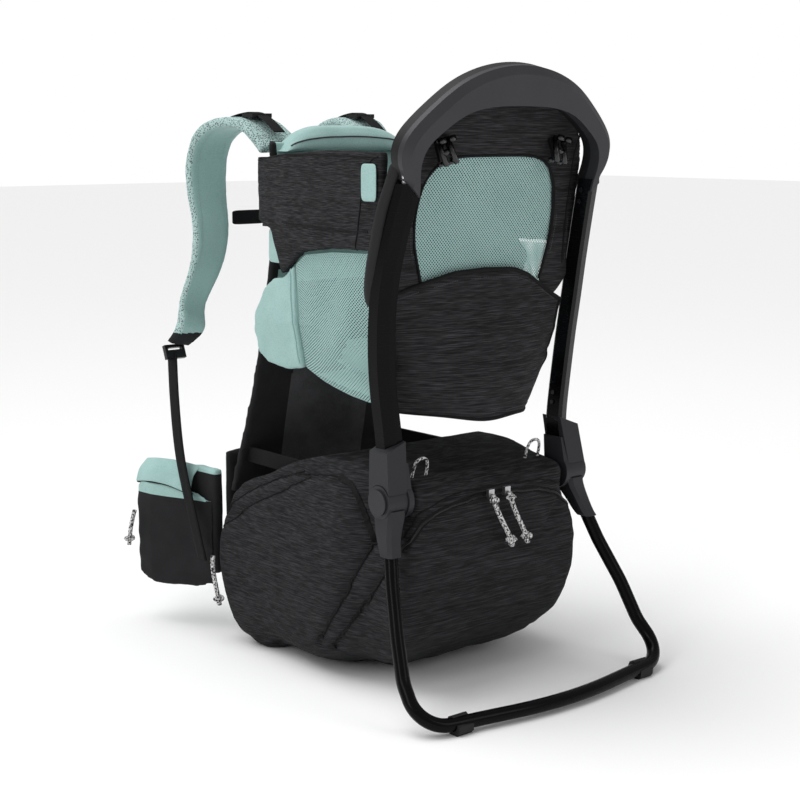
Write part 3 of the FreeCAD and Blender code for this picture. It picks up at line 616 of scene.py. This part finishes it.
# ---------------- cords
ROUTES = {
    "zip_cord_left": [(-17, -192.9, 218), (-15.6, -193.9, 209), (-10, -194.5, 196),
                      (-1, -194.5, 181), (7.5, -194.1, 168), (12, -193.5, 157)],
    "zip_cord_right": [(7, -192.9, 218), (8.8, -194.1, 209), (14, -194.9, 196),
                       (23, -194.5, 181), (31.5, -193.7, 168), (36, -192.7, 157)],
    "side_pull_cord": [(-165.2, 142.4, 105), (-166.4, 142, 97), (-166.4, 140.4, 86),
                       (-165.6, 137.6, 72), (-164.8, 134, 58), (-164.2, 131, 46)],
    "hip_pull_left": [(-188.4, 286, 139), (-190.8, 286.6, 131), (-192.8, 288.6, 119),
                      (-194, 290.4, 106), (-195, 291.2, 94)],
    "cord_loop_left": [(-94, -146, 240), (-94.5, -149.5, 252), (-90, -152, 261.5),
                       (-78.5, -152, 261.5), (-74, -149.5, 252), (-74.5, -146, 240)],
}
# Length in metres, diameter, far end and body of each cord.
CORD_FACTS = {"zip_cord_left": (0.0668, 5.5, "knot", "zip_left"),
              "zip_cord_right": (0.0668, 5.5, "knot", "zip_right"),
              "side_pull_cord": (0.0600, 5.5, "knot", "frame"),
              "hip_pull_left": (0.0455, 5.5, "knot", "hip_left"),
              "hip_pull_right": (0.0455, 5.5, "knot", "hip_right"),
              "cord_loop_left": (0.052, 3.4, "object", "frame"),
              "cord_loop_right": (0.052, 3.4, "object", "frame")}
for left in ("hip_pull_left", "cord_loop_left"):
    ROUTES[left.replace("left", "right")] = on_side(ROUTES[left], 1)
KNOT_INSET = 7


def nurbs(name, route, diameter):
    """Round cord on one smooth NURBS spline."""
    obj = curve(name, "NURBS", route, diameter / 2, CORD, 4)
    run = obj.data.splines[0]
    obj.data.resolution_u = run.resolution_u = 16
    run.order_u = 3
    run.use_endpoint_u = True
    return obj


def cord_knot(name, where, size, body):
    """A small overhand knot: one strand wound through itself."""
    line = []
    for i in range(49):
        t = 2 * math.pi * i / 48
        line.append((where[0] + size * (math.sin(t) + 1.3 * math.sin(2 * t)) * 0.36,
                     where[1] + size * -math.sin(3 * t) * 0.42,
                     where[2] + size * (math.cos(t) - 1.3 * math.cos(2 * t)) * 0.36))
    return place(tube(name, line, size * 0.36, CORD), body, slot="flecked_cord")


for name, (length, diameter, far_end, body) in CORD_FACTS.items():
    route = ROUTES[name]
    strand = nurbs(name + "_strand", route, diameter)
    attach(strand, body)
    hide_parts(name)
    if far_end == "knot":
        ends = [Vector(p) for p in (route[0], route[1], route[-2], route[-1])]
        end = ends[3] + (ends[3] - ends[2]).normalized() * -KNOT_INSET
        cord_knot(name + "_knot", end, 6.2, body)
        if "zip" in name:
            top = ends[0] + (ends[1] - ends[0]).normalized() * KNOT_INSET
            cord_knot(name + "_top_knot", top, 5.2, body)


# ---------------- soft solids
def evaluated(obj):
    """The object's final mesh in place of its modifiers."""
    bpy.context.view_layer.update()
    graph = bpy.context.evaluated_depsgraph_get()
    data = bpy.data.meshes.new_from_object(obj.evaluated_get(graph))
    obj.modifiers.clear()
    obj.data = data
    return obj


def reshape(obj, height):
    """Moves each vertex along its normal by height(point, normal) millimetres."""
    places = []
    for vertex in obj.data.vertices:
        normal = vertex.normal.copy()
        point = vertex.co + normal * height(vertex.co / MM, normal) * MM
        places += [point.x, point.y, max(point.z, 0.0)]
    obj.data.vertices.foreach_set("co", places)
    obj.data.update()
    return obj


def soft(node, body, voxel, material, height, mark=None, rounds=4, slot=None,
         padded=None, shift=None):
    """The soft piece of a CAD node: its shape closed up, rounded, puffed and creased.

    mark(centre, normal) gives a face's place in a list of materials.
    """
    obj = link(node + "_cloth", NODES[node].data.copy())
    obj.data.materials.clear()
    remesh = obj.modifiers.new("remesh", "REMESH")
    remesh.mode = "VOXEL"
    remesh.voxel_size = voxel * MM
    smooth = obj.modifiers.new("smooth", "SMOOTH")
    smooth.factor = 0.5
    smooth.iterations = rounds
    evaluated(obj)
    if shift:
        moved(obj, shift)
    reshape(obj, height)
    for one in (material if isinstance(material, list) else [material]):
        obj.data.materials.append(one)
    for polygon in obj.data.polygons:
        polygon.use_smooth = True
        if mark:
            polygon.material_index = mark(polygon.center / MM, polygon.normal)
    return place(obj, body, replaces=(node,), slot=slot, padded=padded)


def waves(p, stretch, seed):
    """Stretched noise between -1 and 1 at a millimetre point."""
    return noise.noise(Vector((p[0] / stretch[0] + seed, p[1] / stretch[1], p[2] / stretch[2])))


def path_tree(lines):
    """Search tree of 60 points along each polyline."""
    marks = [p for line in lines for p in evenly(line, 60)]
    tree = KDTree(len(marks))
    for i, p in enumerate(marks):
        tree.insert(p, i)
    tree.balance()
    return tree


def creases(lines, depth, width):
    """Height function of sewn lines: a valley along each polyline."""
    tree = path_tree(lines)

    def height(p):
        return -depth * math.exp(-((tree.find(p)[2] / width) ** 2))
    return height


def moved(obj, shift):
    """Moves each vertex to shift(point in millimetres)."""
    for vertex in obj.data.vertices:
        vertex.co = shift(vertex.co / MM) * MM
    obj.data.update()
    return obj


def trims(obj, lines, radius, material, lift, name, slot):
    """Piping laid on a piece of the frame along polylines."""
    tree = surface_of(obj)
    for i, line in enumerate(lines):
        laid, _ = snapped(tree, evenly(spline(line, 40), 50), lift)
        one = tube(f"{name}_piping_{i + 1}", laid, radius, material)
        place(one, "frame", slot=slot)


def tapes(obj, lines, name, lift):
    """Flat zip tape laid on a piece of the frame along polylines."""
    tree = surface_of(obj)
    for i, line in enumerate(lines):
        laid, normals = snapped(tree, evenly(spline(line, 36), 44), lift)
        one = ribbon(f"{name}_{i + 1}", laid, normals, TAPE_WIDTH, TAPE_THICKNESS, BINDING)
        place(one, "frame", slot="plain_black")


# ---------------- storage bag
TAPE_WIDTH = 7
TAPE_THICKNESS = 1.2
ZIP_ARCH = [(-131, -152, 162), (-123, -171, 176), (-113, -178, 190), (-100, -181, 201),
            (-77, -183, 209), (-52, -183, 213), (-10, -183, 216), (33, -183, 214),
            (77, -183, 208), (104, -180, 196), (118, -170, 180)]
ZIP_SHADE = [(-128, -156, 176), (-121, -164, 188), (-106, -175, 208), (-73, -182, 221),
             (-30, -181, 226), (34, -181, 224), (80, -182, 219), (108, -172, 208)]
FOLD_EDGES = [[(-130, -126, 172), (-146, -101, 119), (-150, -75, 78), (-150, -44, 38)],
              [(-131, -146, 142), (-137, -115, 98), (-140, -93, 71), (-141, -64, 34)]]
SIDE_ARCH = [(-136, 20, 222), (-135, -2, 227), (-133, -33, 231), (-131, -62, 233),
             (-131, -82, 229), (-130, -97, 215), (-128, -110, 192), (-128, -124, 172)]
SIDE_SEAMS = [[(-152, 138, 160), (-151, 115, 177), (-145, 82, 197), (-140, 42, 215),
               (-134, -1, 230)],
              [(-156, 138, 142), (-155, 112, 157), (-152, 84, 176), (-147, 49, 193),
               (-141, 12, 212), (-136, -15, 226)]]
DARTS = [[(-130, 60, 8), (-146, 24, 26), (-154, -20, 62)],
         [(-95, -183, 197), (-86, -184, 184), (-70, -184, 165)]]
FOOT_SEAM = [(-140, 110, 10), (-145, 60, 16), (-150, 0, 26), (-150, -47, 36), (-139, -72, 32),
             (-112, -130, 30), (-60, -150, 30), (0, -158, 30)]


def mirrored(lines):
    """Lines and their mirror images across the middle plane."""
    return lines + [on_side(line, 1) for line in lines]


BAG_SEAMS = creases(mirrored([SIDE_ARCH, *SIDE_SEAMS, *DARTS, FOOT_SEAM]) + [ZIP_ARCH, ZIP_SHADE],
                    2.4, 4.5)
BAG_TOP = 225
BAG_BROW_Y = -175
BAG_BROW_Z = 185
BAG_PULL_IN = 1.2
FOLD_CREASE = creases(mirrored(FOLD_EDGES), 4.0, 5.0)


def bag_height(p, n):
    """Slack of the bag: broad sags, seam valleys and short puckers, calm round the zip."""
    broad = 2.6 * waves(p, (70, 70, 55), 3.1)
    diagonal = 2.0 * waves((p.x + p.z * 0.8, p.y, p.z - p.x * 0.5), (26, 60, 60), 8.4)
    fine = 0.5 * waves(p, (11, 11, 9), 1.7)
    seams = BAG_SEAMS(p)
    tight = p.z > BAG_TOP or (p.y < BAG_BROW_Y and p.z > BAG_BROW_Z)
    slack = (broad + diagonal + fine - seams * 0.4 * fine) * (0.35 if tight else 1.0)
    return slack + seams + FOLD_CREASE(p) - BAG_PULL_IN


bag = soft("storage_bag", "frame", 3.6, HEATHER_DARK, bag_height, rounds=6, slot="heather")
trims(bag, mirrored([SIDE_ARCH, *SIDE_SEAMS]) + [ZIP_SHADE], 0.9, BINDING, 0.2, "bag_seam",
      "plain_black")
trims(bag, mirrored(FOLD_EDGES), 1.4, BINDING, 0.3, "bag_fold", "plain_black")
tapes(bag, [ZIP_ARCH], "bag_zip_tape", 0.9)
trims(bag, [ZIP_ARCH], 1.3, BUCKLE, 1.2, "bag_zip_coil", "buckle_plastic")
tapes(bag, mirrored([SIDE_ARCH[3:]]), "side_zip_tape", 1.0)


# ---------------- rear panel, window, flap
REAR_LINE = [(640, -190, -190), (610, -181, -178), (583, -172, -166), (550, -164, -160),
             (520, -158, -156), (488, -153, -153), (446, -151, -150)]
FLAP_LINE = [(444, -154, -149, 121), (430, -158, -149, 118), (413, -162, -149, 115),
             (392, -168, -148, 112), (362, -176, -143, 106), (335, -181, -134, 101),
             (318, -182, -125, 96), (303, -181, -116, 84)]
WINDOW_LEFT = [(-60, 452), (-86, 446), (-91, 462), (-99, 492), (-101, 520), (-96, 550),
               (-86, 568), (-72, 578), (-50, 583)]
WINDOW_OUTLINE = [(0, 452), *WINDOW_LEFT, (0, 584), *[(-x, z) for x, z in WINDOW_LEFT[::-1]]]


def rear_y(x, z):
    """Depth of the rear panel's outer face."""
    middle, side = lookup(REAR_LINE, z)
    return middle + (side - middle) * min(1.0, abs(x) / 135) ** 2


def wrinkle_rear(p, n):
    """Shallow slack of the rear panel."""
    return 0.8 * waves(p, (50, 50, 14), 5.0) + 0.25 * waves(p, (12, 12, 8), 2.0)


rear_panel = soft("rear_panel", "frame", 1.8, HEATHER, wrinkle_rear, rounds=3, slot="heather",
                  padded=0.1)
FLAP_TOP = [(-122, 441), (-105, 445), (-86, 450), (-44, 459), (0, 461), (44, 459), (66, 452),
            (86, 440), (105, 428), (122, 420)]
FLAP_LEFT = 1.07  # the flap's left half is this much wider
FLAP_FOOT = 303
FLAP_RISE = 141


def flap_row(f):
    """A row of the flap, from its lower edge at 0 to its arched top at 1."""
    level = FLAP_FOOT + FLAP_RISE * f
    middle, side, half = lookup(FLAP_LINE, level)
    row = []
    for i in range(49):
        x = half * (i / 24 - 1) * (FLAP_LEFT if i < 24 else 1)
        arch = lookup(FLAP_TOP, x)[0] - (FLAP_FOOT + FLAP_RISE)
        z = level + arch * max(0.0, (f - 0.55) / 0.45) ** 1.3
        z += 1.5 * (1 - f) ** 3 * math.sin(x / 13) + 5 * (1 - f) ** 4 * abs(x / half) ** 3
        y = middle + (side - middle) * abs(x / half) ** 2.3
        y -= 1.6 * waves((x, 0, z), (60, 60, 22), 6.0) + 0.5 * waves((x, 0, z), (14, 14, 8), 1.0)
        y += 2.2 * math.exp(-(((z - 366 + 0.02 * x) / 3.5) ** 2))
        y -= 1.5 * math.exp(-(((z - 356 + 0.03 * x) / 6) ** 2))
        row.append((x, y - 1.5 - 4 * (1 - f) ** 2, z))
    return row


flap_rows = [flap_row(k / 44) for k in range(45)]
rear_flap = subdivide(thicken(grid("rear_flap_cloth", flap_rows), 3.0), 1)
place(rear_flap, "frame", HEATHER, replaces=("rear_flap",), slot="heather")

for label, line, size in (("top", flap_rows[-1], 2.6), ("foot", flap_rows[0], 2.2),
                          ("left", [row[0] for row in flap_rows], 2.0),
                          ("right", [row[-1] for row in flap_rows], 2.0)):
    edge = [(x, y - 1.0, z) for x, y, z in evenly(line, 60)]
    trimming(f"flap_binding_{label}", edge, size)

flap_tree = surface_of(rear_flap)
for label, line in (("top", flap_rows[42]), ("foot", flap_rows[2])):
    thread_row(f"flap_stitch_{label}", flap_tree, line, 110)

for s, side in SIDES:
    rows = []
    for x0, z0, x1, z1 in ((100, 488, 80, 424), (108, 484, 96, 422), (116, 478, 110, 426),
                           (126, 472, 124, 440), (134, 464, 133, 453)):
        row = []
        for t in range(9):
            x, z = x0 + (x1 - x0) * t / 8, z0 + (z1 - z0) * t / 8
            row.append((s * x, rear_y(x, z) - 1.0, z))
        rows.append(row)
    panel(f"rear_skirt_{side}", rows, 2.5, HEATHER, "heather")

# The top edge (x, z) of a dark sheet that stands behind the window: a painted shadow, put where
# shade is cast inside the carrier.
SHADOW_SHEET_EDGE = [(-98, 505), (-90, 535), (-72, 546), (-36, 542), (-11, 541), (20, 530),
                (51, 507), (80, 478)]
shadow_sheet_rows = [[(x, -136 + 4 * math.sin(k), 440 + (z - 440) * k / 6) for x, z in
                spline(SHADOW_SHEET_EDGE, 40)] for k in range(7)]
panel("painted_shadow_sheet", shadow_sheet_rows, 1.5, SHADOW_SHEET_GREY, "mint_mesh", 1)

window = grid("mesh_window_net", [[(x, rear_y(x, z) + 1.2, z)
                                   for x in [-104 + 208 * i / 26 for i in range(27)]]
                                  for z in [444 + 143 * j / 18 for j in range(19)]])


def clip_to(obj, outline):
    """Deletes the faces whose middle lies outside a closed (x, z) outline."""
    def inside(a, b):
        hit = False
        for (a0, b0), (a1, b1) in zip(outline, outline[1:] + outline[:1]):
            if (b0 > b) != (b1 > b) and a < (a1 - a0) * (b - b0) / (b1 - b0) + a0:
                hit = not hit
        return hit
    net = bmesh.new()
    net.from_mesh(obj.data)
    away = []
    for face in net.faces:
        middle = face.calc_center_median() / MM
        if not inside(middle.x, middle.z):
            away.append(face)
    bmesh.ops.delete(net, geom=away, context="FACES")
    net.to_mesh(obj.data)
    net.free()
    return obj


WINDOW_MIDDLE = 515
WINDOW_CLIP = [(x * 1.02, WINDOW_MIDDLE + (z - WINDOW_MIDDLE) * 1.03)
               for x, z in WINDOW_OUTLINE]
subdivide(window, 2)
evaluated(window)
clip_to(window, WINDOW_CLIP)
place(window, "frame", MINT_NET, replaces=("mesh_window",), slot="mint_mesh")
rim = [(x, rear_y(x, z) - 2.0, z) for x, z in spline(WINDOW_OUTLINE[2:-1], 90)]
trimming("window_binding", rim, 1.7)
panel_tree = surface_of(rear_panel)
for s, side in SIDES:
    seam = [(s * 121, rear_y(121, z) - 2.2, z) for z in range(462, 610, 6)]
    trimming(f"panel_seam_{side}", seam, 1.2)
    line = [(s * 125, rear_y(125, z), z) for z in range(466, 606, 6)]
    thread_row(f"panel_stitch_{side}", panel_tree, line, 60)
wide_rim = [(x * 1.05, rear_y(x, z), WINDOW_MIDDLE + (z - WINDOW_MIDDLE) * 1.07)
            for x, y, z in rim]
thread_row("window_stitch", panel_tree, wide_rim, 170)


# ---------------- side walls
WALL_PLANS = [
    (300, [(-152, -74), (-126, -92), (-88, -104), (-38, -110), (20, -110), (112, -112)]),
    (395, [(-151, -103), (-120, -118), (-82, -127), (-34, -129), (20, -128), (112, -121)]),
    (490, [(-152, -134), (-95, -136), (-40, -136.5), (20, -133), (66, -125), (101, -115.5)]),
]


def wall_x(y, z):
    """Outer face of the left side wall."""
    return lookup([(level, lookup(plan, y)[0]) for level, plan in WALL_PLANS], z)[0]


MESH_TOP = [(-150, 483), (-60, 480.5), (-6, 474.5), (14, 462)]
MESH_FOOT = [(-150, 306), (-60, 321), (-15, 333), (14, 345)]


def bucket_fold(y, z):
    """Diagonal slack of the mesh side."""
    slope = (z - 400) * 0.75 + y
    return (3.2 * math.sin(slope / 17) * math.exp(-((y + 50) / 75) ** 2)
            + 1.6 * noise.noise(Vector((y / 30, z / 40, 2.0))))


for s, side in SIDES:
    rows = []
    for j in range(37):
        row = []
        for i in range(41):
            y = -124 + 138 * i / 40
            low, high = lookup(MESH_FOOT, y)[0], lookup(MESH_TOP, y)[0]
            z = low + (high - low) * j / 36
            swell = math.sin(math.pi * i / 40) * math.sin(math.pi * j / 36)
            x = wall_x(y, z) - (3.0 + bucket_fold(y, z)) * swell + 1.5
            row.append((-s * x, y, z))
        rows.append(row)
    net = grid(f"bucket_mesh_{side}", rows)
    subdivide(net, 1)
    place(net, "frame", MINT_NET, replaces=(f"bucket_side_{side}",), slot="mint_mesh")


def wrinkle_band(p, n):
    """Slack of the side bands, mostly in level folds."""
    return 0.9 * waves(p, (60, 60, 16), 7.0) + 0.3 * waves(p, (14, 14, 9), 1.0)


def wrinkle_cuff(p, n):
    """Soft waves of the thigh cuffs."""
    edge = 1.5 * waves(p, (40, 25, 25), 4.0)
    return edge + 0.4 * waves(p, (12, 12, 12), 1.0)


def wrinkle_pad(p, n):
    """Faint unevenness of a stuffed pad."""
    return 0.8 * waves(p, (45, 45, 45), 9.0) + 0.25 * waves(p, (12, 12, 12), 3.0)


BAND_DROP = 13
BAND_MIDDLE = 500
BAND_TOP = 603


def band_shift(p):
    """Lowers the side bands, from nothing at their middle to BAND_DROP at their top."""
    rise = max(0.0, (p.z - BAND_MIDDLE) / (BAND_TOP - BAND_MIDDLE))
    return Vector((p.x, p.y, p.z - BAND_DROP * rise))


COLLAR_HALF = 102
COLLAR_MIDDLE = 598
COLLAR_SET = 586  # where its middle is moved to


def collar_shift(p):
    """The collar pad grows fuller in its middle and tapers to its ends."""
    full = max(0.05, 1 - (abs(p.x) / COLLAR_HALF) ** 4)
    return Vector((p.x * 0.93, p.y, COLLAR_SET + (p.z - COLLAR_MIDDLE) * 1.45 * full))


LEG_TRIM = [(-146, -139, 428), (-147, -141, 445), (-148, -146, 470), (-147, -153, 500),
            (-145, -160, 530), (-141, -170, 560), (-139, -176, 578)]
for s, side in SIDES:
    rows = []
    for i, p in enumerate(evenly(spline(on_side(LEG_TRIM, s), 30), 30)):
        round_end = math.sqrt(1 - (1 - min(1.0, (i + 0.2) / 5)) ** 2)
        rows.append([(p.x + 5.5 * round_end * math.cos(t), p.y + 8.5 * round_end * math.sin(t),
                      p.z) for t in [math.tau * k / 16 for k in range(16)]])
    trim = subdivide(grid(f"leg_trim_{side}", rows, closed=True), 1)
    place(trim, "frame", TRIM, slot="cover_plastic")

BAND_SEAMS = (
    [(-137, 29, 509), (-140, -9, 507), (-142, -48, 506), (-142, -92, 505), (-140, -129, 506)],
    [(-124, 66, 497), (-129, 41, 452), (-133, 12, 462), (-138, -20, 480)],
    [(-140, -147, 584), (-140, -133, 576), (-141, -119, 539), (-141, -113, 507),
     (-137, -108, 487)],
    [(-124, 98, 578), (-135, 40, 583), (-141, -25, 585), (-142, -93, 584), (-140, -145, 583)])
for s, side in SIDES:
    cloth = soft(f"side_band_{side}", "frame", 2.6, HEATHER, wrinkle_band, rounds=4,
                 slot="heather", padded=0.2, shift=band_shift)
    trims(cloth, [on_side(line, s) for line in BAND_SEAMS], 0.9, BINDING, 0.2,
          f"band_seam_{side}", "plain_black")
    patch_rows = [[(-s * 142.6, y, z) for y in (-121, -130, -139, -147)]
                  for z in (577, 565, 551, 537)]
    panel(f"band_patch_{side}", patch_rows, 1.6, MINT_CLOTH, "mint_fabric")
    gusset_rows = [[(-s * wall_x(y, z) * -0.97, y, z) for y in (86, 74, 62, 50)]
                   for z in (500, 488, 474, 460)]
    panel(f"band_gusset_{side}", gusset_rows, 2.0, MINT_CLOTH, "mint_fabric")
    cuff = soft(f"thigh_cuff_{side}", "frame", 2.2, MINT_CLOTH, wrinkle_cuff, rounds=5,
                slot="mint_fabric", padded=0.3)
    edge = [(s * 131, y, z) for y, z in ((22, 458), (21, 430), (19, 400), (18, 370), (17, 347))]
    trims(cuff, [edge], 1.0, MINT_CLOTH, 0.4, f"cuff_seam_{side}", "mint_fabric")

# ---------------- collar, floor and back
collar = soft("collar_pad", "frame", 2.6, MINT_CLOTH, wrinkle_pad, rounds=5,
              slot="mint_mesh", padded=0.6, shift=collar_shift)
trims(collar, [[(x, 80, 604 - 0.0009 * x * x) for x in range(-88, 89, 8)]], 0.9, THREAD, 0.2,
      "collar_seam", "mint_mesh")
soft("bucket_floor", "frame", 3.0, [MINT_CLOTH, BLACK_CLOTH], wrinkle_pad, rounds=3,
     mark=lambda c, n: 0 if n.z > 0.6 and c.y > -100 else 1, slot="mint_fabric", padded=0.2)
soft("child_harness", "frame", 2.2, BLACK_CLOTH, wrinkle_pad, rounds=3, slot="plain_black",
     padded=0.4)


COVER_SPLIT = 435  # the child's part is above, the melange part below
CHILD_PART_HALF = 96
MELANGE_HALF = 62


def cover_mark(c, n):
    """Mint towards the child, melange below in the middle, plain black at the edges."""
    if n.y > 0.2:
        return 1
    if c.z > COVER_SPLIT:
        return 0 if abs(c.x) < CHILD_PART_HALF else 1
    return 2 if abs(c.x) < MELANGE_HALF else 1


cover = soft("back_cover", "frame", 3.2, [MINT_CLOTH, BLACK_CLOTH, MELANGE], wrinkle_pad,
             mark=cover_mark, rounds=4, slot="plain_black", padded=0.4)
trims(cover, [[(x, 142, 250), (x, 126, 314), (x, 110, 376), (x, 96, 436)]
              for x in (-62, -12, 62)], 1.1, BINDING, 0.3, "back_seam", "plain_black")
CHANNELS = creases([[(x, 140, 236), (x, 122, 380), (x, 112, 536)] for x in (-38, 0, 38)],
                   5.0, 5.0)
soft("back_mesh_pad", "frame", 3.2, SPACER,
     lambda p, n: wrinkle_pad(p, n) + (CHANNELS(p) if n.y > 0.2 else 0), rounds=5,
     slot="strap_mesh", padded=0.7)
soft("lumbar_pad", "frame", 3.6, [SPACER, BLACK_CLOTH], wrinkle_pad,
     mark=lambda c, n: 0 if n.y > 0.3 else 1, rounds=6, slot="strap_mesh", padded=0.8)
soft("seat_pad", "seat", 3.2, MINT_CLOTH, wrinkle_pad, rounds=6, slot="mint_fabric",
     padded=0.6)
soft("harness_yoke", "harness", 2.6, BLACK_CLOTH, wrinkle_pad, rounds=4, slot="plain_black",
     padded=0.3)


# ---------------- shoulder straps
STRAP_LINE = [(-74, 123, 588), (-77, 150, 611), (-81, 178, 620), (-85, 212, 617),
              (-89, 243, 600), (-92, 254, 570), (-96, 247, 527), (-102, 232, 484),
              (-110, 236, 440), (-119, 252, 393), (-129, 271, 347)]
TIP_TOP = 362
TIP_REAR = 240


def strap_mark(s):
    """Face rule of a strap: 0 knit, 1 and 3 spacer mesh, 2 the black tip."""
    line = evenly(on_side(STRAP_LINE, s), 60)
    tree = path_tree([line])

    def mark(c, n):
        k = tree.find(c)[1]
        along = (line[min(k + 1, 59)] - line[max(k - 1, 0)]).normalized()
        out = along.cross(Vector((1, 0, 0))).normalized()
        if c.z < TIP_TOP and c.y > TIP_REAR:
            return 2
        if -n.x * s < -0.35:
            return 1
        facing = n.dot(out)
        if abs(facing) <= 0.45:
            return 3
        return 0 if facing > 0 else 1
    return mark


for s, side in SIDES:
    strap_cloth = soft(f"shoulder_strap_{side}", "harness", 2.6,
                       [MINT_CLOTH, SPACER, BLACK_CLOTH, SPACER], wrinkle_pad,
                       mark=strap_mark(s), rounds=5, slot="mint_fabric", padded=0.6)
    strap_tree = surface_of(strap_cloth)
    for label, shift in (("outer", -17), ("inner", 17)):
        line = [(-s * x + shift, y - 8, z - 4) for x, y, z in spline(STRAP_LINE[1:10], 60)]
        place(stitches(f"strap_stitch_{side}_{label}", strap_tree, line, 0.3, MINT_CLOTH, 120,
                       1.4), "harness", slot="mint_fabric")

# ---------------- canopy clips, painted highlight lines on the legs
PANEL_LEAN = math.radians(19)  # the upper panel's lean back
CLIP_TILT = 12  # degrees, each clip's top towards its side
CLIP_BARS = [(-6.5, 0, 3.0, 15), (6.5, 0, 3.0, 15), (0, -1, 7.0, 3.2), (-6.5, 13, 4.2, 3.0),
             (6.5, 13, 4.2, 3.0), (-6.5, -13, 4.2, 2.6), (6.5, -13, 4.2, 2.6)]


def clip_bar(name, centre, half, tilt):
    """One rounded bar of a clip, standing on the panel's slope."""
    net = bmesh.new()
    bmesh.ops.create_cube(net, size=2.0)
    for vertex in net.verts:
        vertex.co = Vector((vertex.co.x * half[0], vertex.co.y * 2.4, vertex.co.z * half[1]))
    bmesh.ops.bevel(net, geom=net.edges[:], offset=0.9, segments=3, affect="EDGES")
    slope = Matrix.Rotation(math.radians(tilt), 4, "Y") @ Matrix.Scale(MM, 4)
    lean = Matrix.Rotation(-PANEL_LEAN, 4, "X")
    net.transform(Matrix.Translation(Vector(centre) * MM) @ lean @ slope)
    data = bpy.data.meshes.new(name)
    net.to_mesh(data)
    net.free()
    for polygon in data.polygons:
        polygon.use_smooth = True
    return link(name, data)


for s, side in SIDES:
    tilt = math.radians(CLIP_TILT * s)
    for k, (x, z, wide, tall) in enumerate(CLIP_BARS):
        across = x * math.cos(tilt) + z * math.sin(tilt)
        rise = z * math.cos(tilt) - x * math.sin(tilt)
        centre = (s * 82 + across, -187.5 - rise * math.sin(PANEL_LEAN), 589 + rise * 0.95)
        place(clip_bar(f"clip_bar_{side}_{k + 1}", centre, (wide, tall), CLIP_TILT * s),
              "frame", GLOSS_BUCKLE, slot="buckle_plastic")

# A painted highlight: a pale gloss line on each leg that stands in for the light caught along it.
# Drawn on the far side, so that it lands on each leg's inner face.
LEG_HIGHLIGHT_LINE = [(138.6, -144.6, 300), (144.2, -144.6, 340), (148.2, -146.6, 380),
            (150.7, -151.1, 420), (150.7, -157.6, 460), (148.2, -167.1, 500),
            (145.2, -175.6, 530)]
for s, side in SIDES:
    leg_tree = surface_of(NODES[f"frame_leg_{side}"])
    laid, _ = snapped(leg_tree, on_side(spline(LEG_HIGHLIGHT_LINE, 60), s), 0.15)
    trimming(f"leg_seam_{side}", laid, 0.45, LEG_HIGHLIGHT_PAINT, "leg_gloss")


# ---------------- webbing
WEB_LINE = [(-169, 161, 98), (-167, 190, 160), (-161, 219, 215), (-147, 252, 280),
            (-133, 279, 334)]
LIFTER_LINE = [(-76, 118, 608), (-77, 140, 622), (-78, 163, 631), (-80, 185, 630),
               (-82, 205, 626)]
for s, side in SIDES:
    line = evenly(spline(on_side(WEB_LINE, s), 30), 30)
    rows = [[tuple(p + Vector((0.4 * math.sin(i / 4), 10 * t, 0))) for t in ACROSS]
            for i, p in enumerate(line)]
    strap = grid(f"lower_webbing_{side}_strap", rows)
    thicken(strap, 1.8)
    strap.data.materials.append(WEB)
    evaluated(strap)
    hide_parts(f"lower_webbing_{side}")
    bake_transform(strap)
    half = [[(s * x, y, z) for z in (494, 498, 503, 508, 512)]
            for x, y in ((17, 239.5), (30, 240.2), (48, 239.6), (66, 239.5))]
    chest = grid(f"sternum_webbing_{side}", half)
    thicken(chest, 1.8)
    subdivide(chest, 2)
    place(chest, "sternum", WEB, replaces=("sternum_strap",), slot="webbing")

for s, side in SIDES:
    run = evenly(spline(on_side(LIFTER_LINE, s), 24), 24)
    band = ribbon(f"lifter_webbing_{side}", run, [(0, 0, 1)] * 24, 17, 1.6, WEB)
    place(band, "harness", slot="webbing")


# ---------------- hip belt
WING_MINT = 196  # mint above this
POCKET_MINT = 162
for s, side in SIDES:
    soft(f"hip_wing_{side}", f"hip_{side}", 3.2, [MINT_CLOTH, BLACK_CLOTH], wrinkle_pad,
         mark=lambda c, n: 0 if c.z > WING_MINT else 1, rounds=6, slot="plain_black",
         padded=0.7)
    soft(f"hip_pocket_{side}", f"hip_{side}", 3.2, [BLACK_CLOTH, MINT_CLOTH],
         lambda p, n: 1.8 * waves((p.x + p.z, p.y, p.z), (30, 30, 22), 2.0) - 0.5,
         mark=lambda c, n: 1 if c.z > POCKET_MINT else 0, rounds=6, slot="plain_black",
         padded=0.5)

POCKET_TOP = [[(-157, 204, 168), (-168, 236, 176), (-178, 264, 178), (-181, 293, 174)],
              [(-153, 204, 190), (-162, 234, 195), (-172, 262, 196), (-177, 291, 190)],
              [(-142, 202, 203), (-150, 231, 205), (-158, 260, 205), (-167, 288, 203)]]
for s, side in SIDES:
    net = [on_side(row, s) for row in POCKET_TOP]
    top = sheet_net(f"pocket_top_{side}", net, 17, 9, 2.4,
                    lambda p: 1.2 * noise.noise(Vector(p) / 18))
    place(top, f"hip_{side}", MINT_CLOTH, slot="mint_fabric")
    tape = [(-s * (x + 2.6), y, z) for x, y, z in spline(POCKET_TOP[0], 30)]
    place(tube(f"pocket_zip_{side}", tape, 2.2, BINDING), f"hip_{side}", slot="plain_black")
